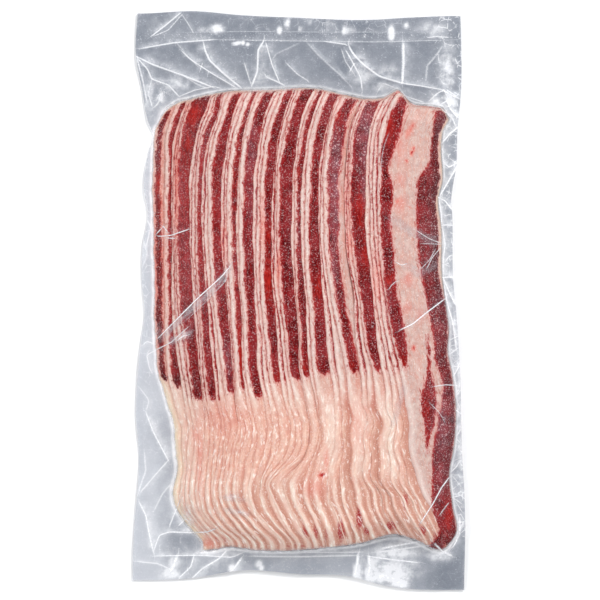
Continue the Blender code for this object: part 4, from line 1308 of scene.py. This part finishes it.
def film_material():
    """Polyamide and polyethylene vacuum film, blown, cut and heat-sealed.

    Nearly clear where it clings to the meat, and a milky blue-grey where it lies double round it. Its folds
    turn white, partly whitened and partly painted highlight; white shine is painted on it, and painted
    sparkles and glints lie on its seal and along its crumples.
    """
    material, tree, shader = new_material("clear heat-sealed vacuum film")
    place = add(tree, "TexCoord", {}, out=3)
    mm = add(tree, "VectorMath", {0: place, 1: (1000, 1000, 1000)}, operation="MULTIPLY")
    veil, tone, haze_and_shine, crumple, seal = (
        add(tree, "Attribute", {}, out=2, attribute_name=name)
        for name in ("veil", "tone", "haze_and_shine", "crumple", "seal")
    )
    broad, cloudy, fine = (
        add(tree, "TexNoise", {"Vector": mm, "Scale": scale, "Detail": detail, "Roughness": rough})
        for scale, detail, rough in ((0.045, 3.0, 0.55), (0.22, 4.0, 0.65), (1.1, 3.0, 0.65))
    )
    bent = add(tree, "VectorMath", {0: mm, 1: (0.19, 0.19, 0.19)}, operation="MULTIPLY")
    cell = add(
        tree, "TexVoronoi", {"Vector": bent, "Scale": 1.0, "Randomness": 1.0}, feature="DISTANCE_TO_EDGE",
    )

    # the folds' white lines, partly whitened film and partly painted highlight, three folds to an attribute,
    # each as wide as its distance is counted in
    lines = []
    for name in ("fold_a", "fold_b"):
        far, strong = (
            add(tree, "Attribute", {}, out=1, attribute_name=name + part)
            for part in ("_distance", "_strength")
        )
        size = add(tree, "VectorMath", {0: far}, operation="ABSOLUTE")
        near = add(
            tree, "VectorMath", {0: size, 1: (-1, -1, -1), 2: (1, 1, 1)}, operation="MULTIPLY_ADD"
        )
        inside = add(tree, "VectorMath", {0: near, 1: (0, 0, 0)}, operation="MAXIMUM")
        bright = add(tree, "VectorMath", {0: inside, 1: strong}, operation="MULTIPLY")
        lines.append(add(tree, "VectorMath", {0: bright, 1: (1, 1, 1)}, out=1, operation="DOT_PRODUCT"))
    both = add(tree, "Math", {0: lines[0], 1: lines[1]}, operation="ADD")

    broken, cell_line, cell_gaps, spark, spark_where, in_margin, patchy, rough = (
        add(tree, "MapRange", {0: source, 1: low, 2: high, 3: least, 4: most})
        for source, low, high, least, most in (
            (fine, 0.3, 0.62, 0.75, 1.7),
            (cell, 0.0, 0.06, 1.0, 0.0),
            (cloudy, 0.42, 0.62, 0.0, 0.9),
            (fine, 0.6, 0.7, 0.0, 0.6),
            (cloudy, 0.5, 0.68, 0.0, 0.6),
            (veil, 0.1, 0.5, 0.05, 1.0),
            (cloudy, 0.35, 0.6, 0.35, 1.15),
            (fine, 0.3, 0.7, 0.14, 0.34),
        )
    )
    # how white the film is: its fold lines, its haze and painted shine, painted glints along its crumples,
    # and painted sparks
    line = add(tree, "Math", {0: both, 1: broken}, operation="MULTIPLY", use_clamp=True)
    # haze with painted shine and painted highlights
    hazy_and_shining = add(tree, "Math", {0: haze_and_shine, 1: patchy}, operation="MULTIPLY", use_clamp=True)
    # painted glints along the edges of the crumples' cells
    crumple_glints = cell_line
    for weight in (cell_gaps, crumple, 0.75):
        crumple_glints = add(tree, "Math", {0: crumple_glints, 1: weight}, operation="MULTIPLY")
    # painted sparkles, more of them on the seal
    sealed_more = add(tree, "Math", {0: seal, 1: 0.35, 2: spark_where}, operation="MULTIPLY_ADD")
    sparkles = spark
    for weight in (sealed_more, in_margin):
        sparkles = add(tree, "Math", {0: sparkles, 1: weight}, operation="MULTIPLY")
    white = line
    for other in (hazy_and_shining, crumple_glints):
        white = add(tree, "Math", {0: white, 1: other}, operation="MAXIMUM")
    white = add(tree, "Math", {0: white, 1: sparkles}, operation="ADD", use_clamp=True)

    shade = add(tree, "Math", {0: broad, 1: 0.7, 2: -0.35}, operation="MULTIPLY_ADD")
    shade = add(tree, "Math", {0: cloudy, 1: 0.22, 2: shade}, operation="MULTIPLY_ADD")
    toned = add(tree, "Math", {0: tone, 1: shade}, operation="ADD", use_clamp=True)
    body = add(tree, "Mix", {0: toned, 6: srgb("#808793"), 7: srgb("#D0D3DA")}, out=2, data_type="RGBA")
    whitest = add(tree, "Math", {0: white, 1: 2.5}, operation="MULTIPLY", use_clamp=True)
    colour = add(tree, "Mix", {0: whitest, 6: body, 7: srgb("#FBFCFF")}, out=2, data_type="RGBA")
    solid = add(tree, "Math", {0: white, 1: 0.85}, operation="MULTIPLY")
    alpha = add(tree, "Math", {0: veil, 1: solid}, operation="MAXIMUM", use_clamp=True)
    crinkle = add(tree, "Math", {0: cloudy, 1: fine}, operation="ADD")
    bump = add(tree, "Bump", {"Strength": 0.35, "Distance": 0.0006, "Height": crinkle})
    join(tree, shader, {"Base Color": colour, "Roughness": rough, "Alpha": alpha, "Normal": bump, "IOR": 1.5})
    return material


def floor_material():
    """Matt white studio card, with the faint unevenness of its surface."""
    material, tree, shader = new_material("matt white studio card")
    place = add(tree, "TexCoord", {}, out=3)
    uneven = add(tree, "TexNoise", {"Vector": place, "Scale": 6.0, "Detail": 2.0})
    colour = add(tree, "Mix", {0: uneven, 6: srgb("#F6F6F6"), 7: srgb("#FAFAFA")}, out=2, data_type="RGBA")
    join(tree, shader, {"Base Color": colour, "Roughness": 0.9, "Specular IOR Level": 0.1})
    return material


# ---------------------------------------------------------------- the stage, the light and the camera


FLOOR_SIZE = 6.0


def stage():
    """A wide pale floor under the pack."""
    bpy.ops.object.select_all(action="DESELECT")
    bpy.ops.mesh.primitive_plane_add(size=FLOOR_SIZE, location=(0, 0, 0))
    floor = bpy.context.object
    floor.name = floor.data.name = "floor"
    floor.data.materials.append(floor_material())


# Each lamp's place and size in metres and its power in watts.
SOFTBOXES = (
    ("key softbox", (0.75, 0.85, 1.2), 0.4, 16.5),
    ("left softbox", (-1.0, 0.35, 1.1), 0.6, 7.5),
    ("foot softbox", (0.2, -1.1, 1.1), 0.5, 4.0),
)


def softbox(name, place, size, watts):
    """A square lamp facing the pack."""
    lamp = bpy.data.lights.new(name, "AREA")
    lamp.size = size
    lamp.energy = watts
    held = bpy.data.objects.new(name, lamp)
    bpy.context.scene.collection.objects.link(held)
    held.location = place
    x, y, z = place
    held.rotation_euler = (math.atan2(math.hypot(x, y), z), 0.0, math.atan2(x, -y))


def light():
    """A studio room, dark overhead where the camera hangs and pale at its walls, with a key and two fills."""
    world = bpy.data.worlds.new("studio room")
    world.use_nodes = True
    tree = world.node_tree
    way = add(tree, "TexCoord", {}, out=0)
    up = add(tree, "SeparateXYZ", {"Vector": way}, out=2)
    shade = add(tree, "MapRange", {0: up, 1: 0.6, 2: 0.93, 3: 0.92, 4: 0.06}, interpolation_type="SMOOTHSTEP")
    join(tree, tree.nodes["Background"], {"Color": srgb("#F4F6FA"), "Strength": shade})
    bpy.context.scene.world = world
    for name, place, size, watts in SOFTBOXES:
        softbox(name, place, size, watts)
    bpy.context.scene.view_settings.view_transform = "Standard"


# The camera's height and the width that it sees at the floor, in metres, and its sensor in millimetres.
CAMERA_HEIGHT = 4.0
VIEW_WIDTH = 0.3606
SENSOR_WIDTH = 36.0


def camera():
    """Straight above the pack, with a long lens."""
    lens = bpy.data.cameras.new("camera above")
    lens.sensor_width = SENSOR_WIDTH
    lens.lens = SENSOR_WIDTH * CAMERA_HEIGHT / VIEW_WIDTH
    held = bpy.data.objects.new("camera above", lens)
    held.location = (0.0006, 0.0003, CAMERA_HEIGHT)
    bpy.context.scene.collection.objects.link(held)
    bpy.context.scene.camera = held


def main():
    """The bag and its slices, the stage, the light and the camera; the pieces go on the root body and the
    imported pack is hidden.
    """
    chance = np.random.default_rng(23)
    film, beef = film_material(), beef_material()
    pieces = [(bag(chance), film, "clear_film")]
    pieces += [(beef_slice(number, chance), beef, "sliced_beef") for number in range(SLICES)]
    for piece, finish, slot in pieces:
        piece.data.materials.append(finish)
        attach(piece, "root")
        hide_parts("vacuum_pack")
    stage()
    light()
    camera()


main()
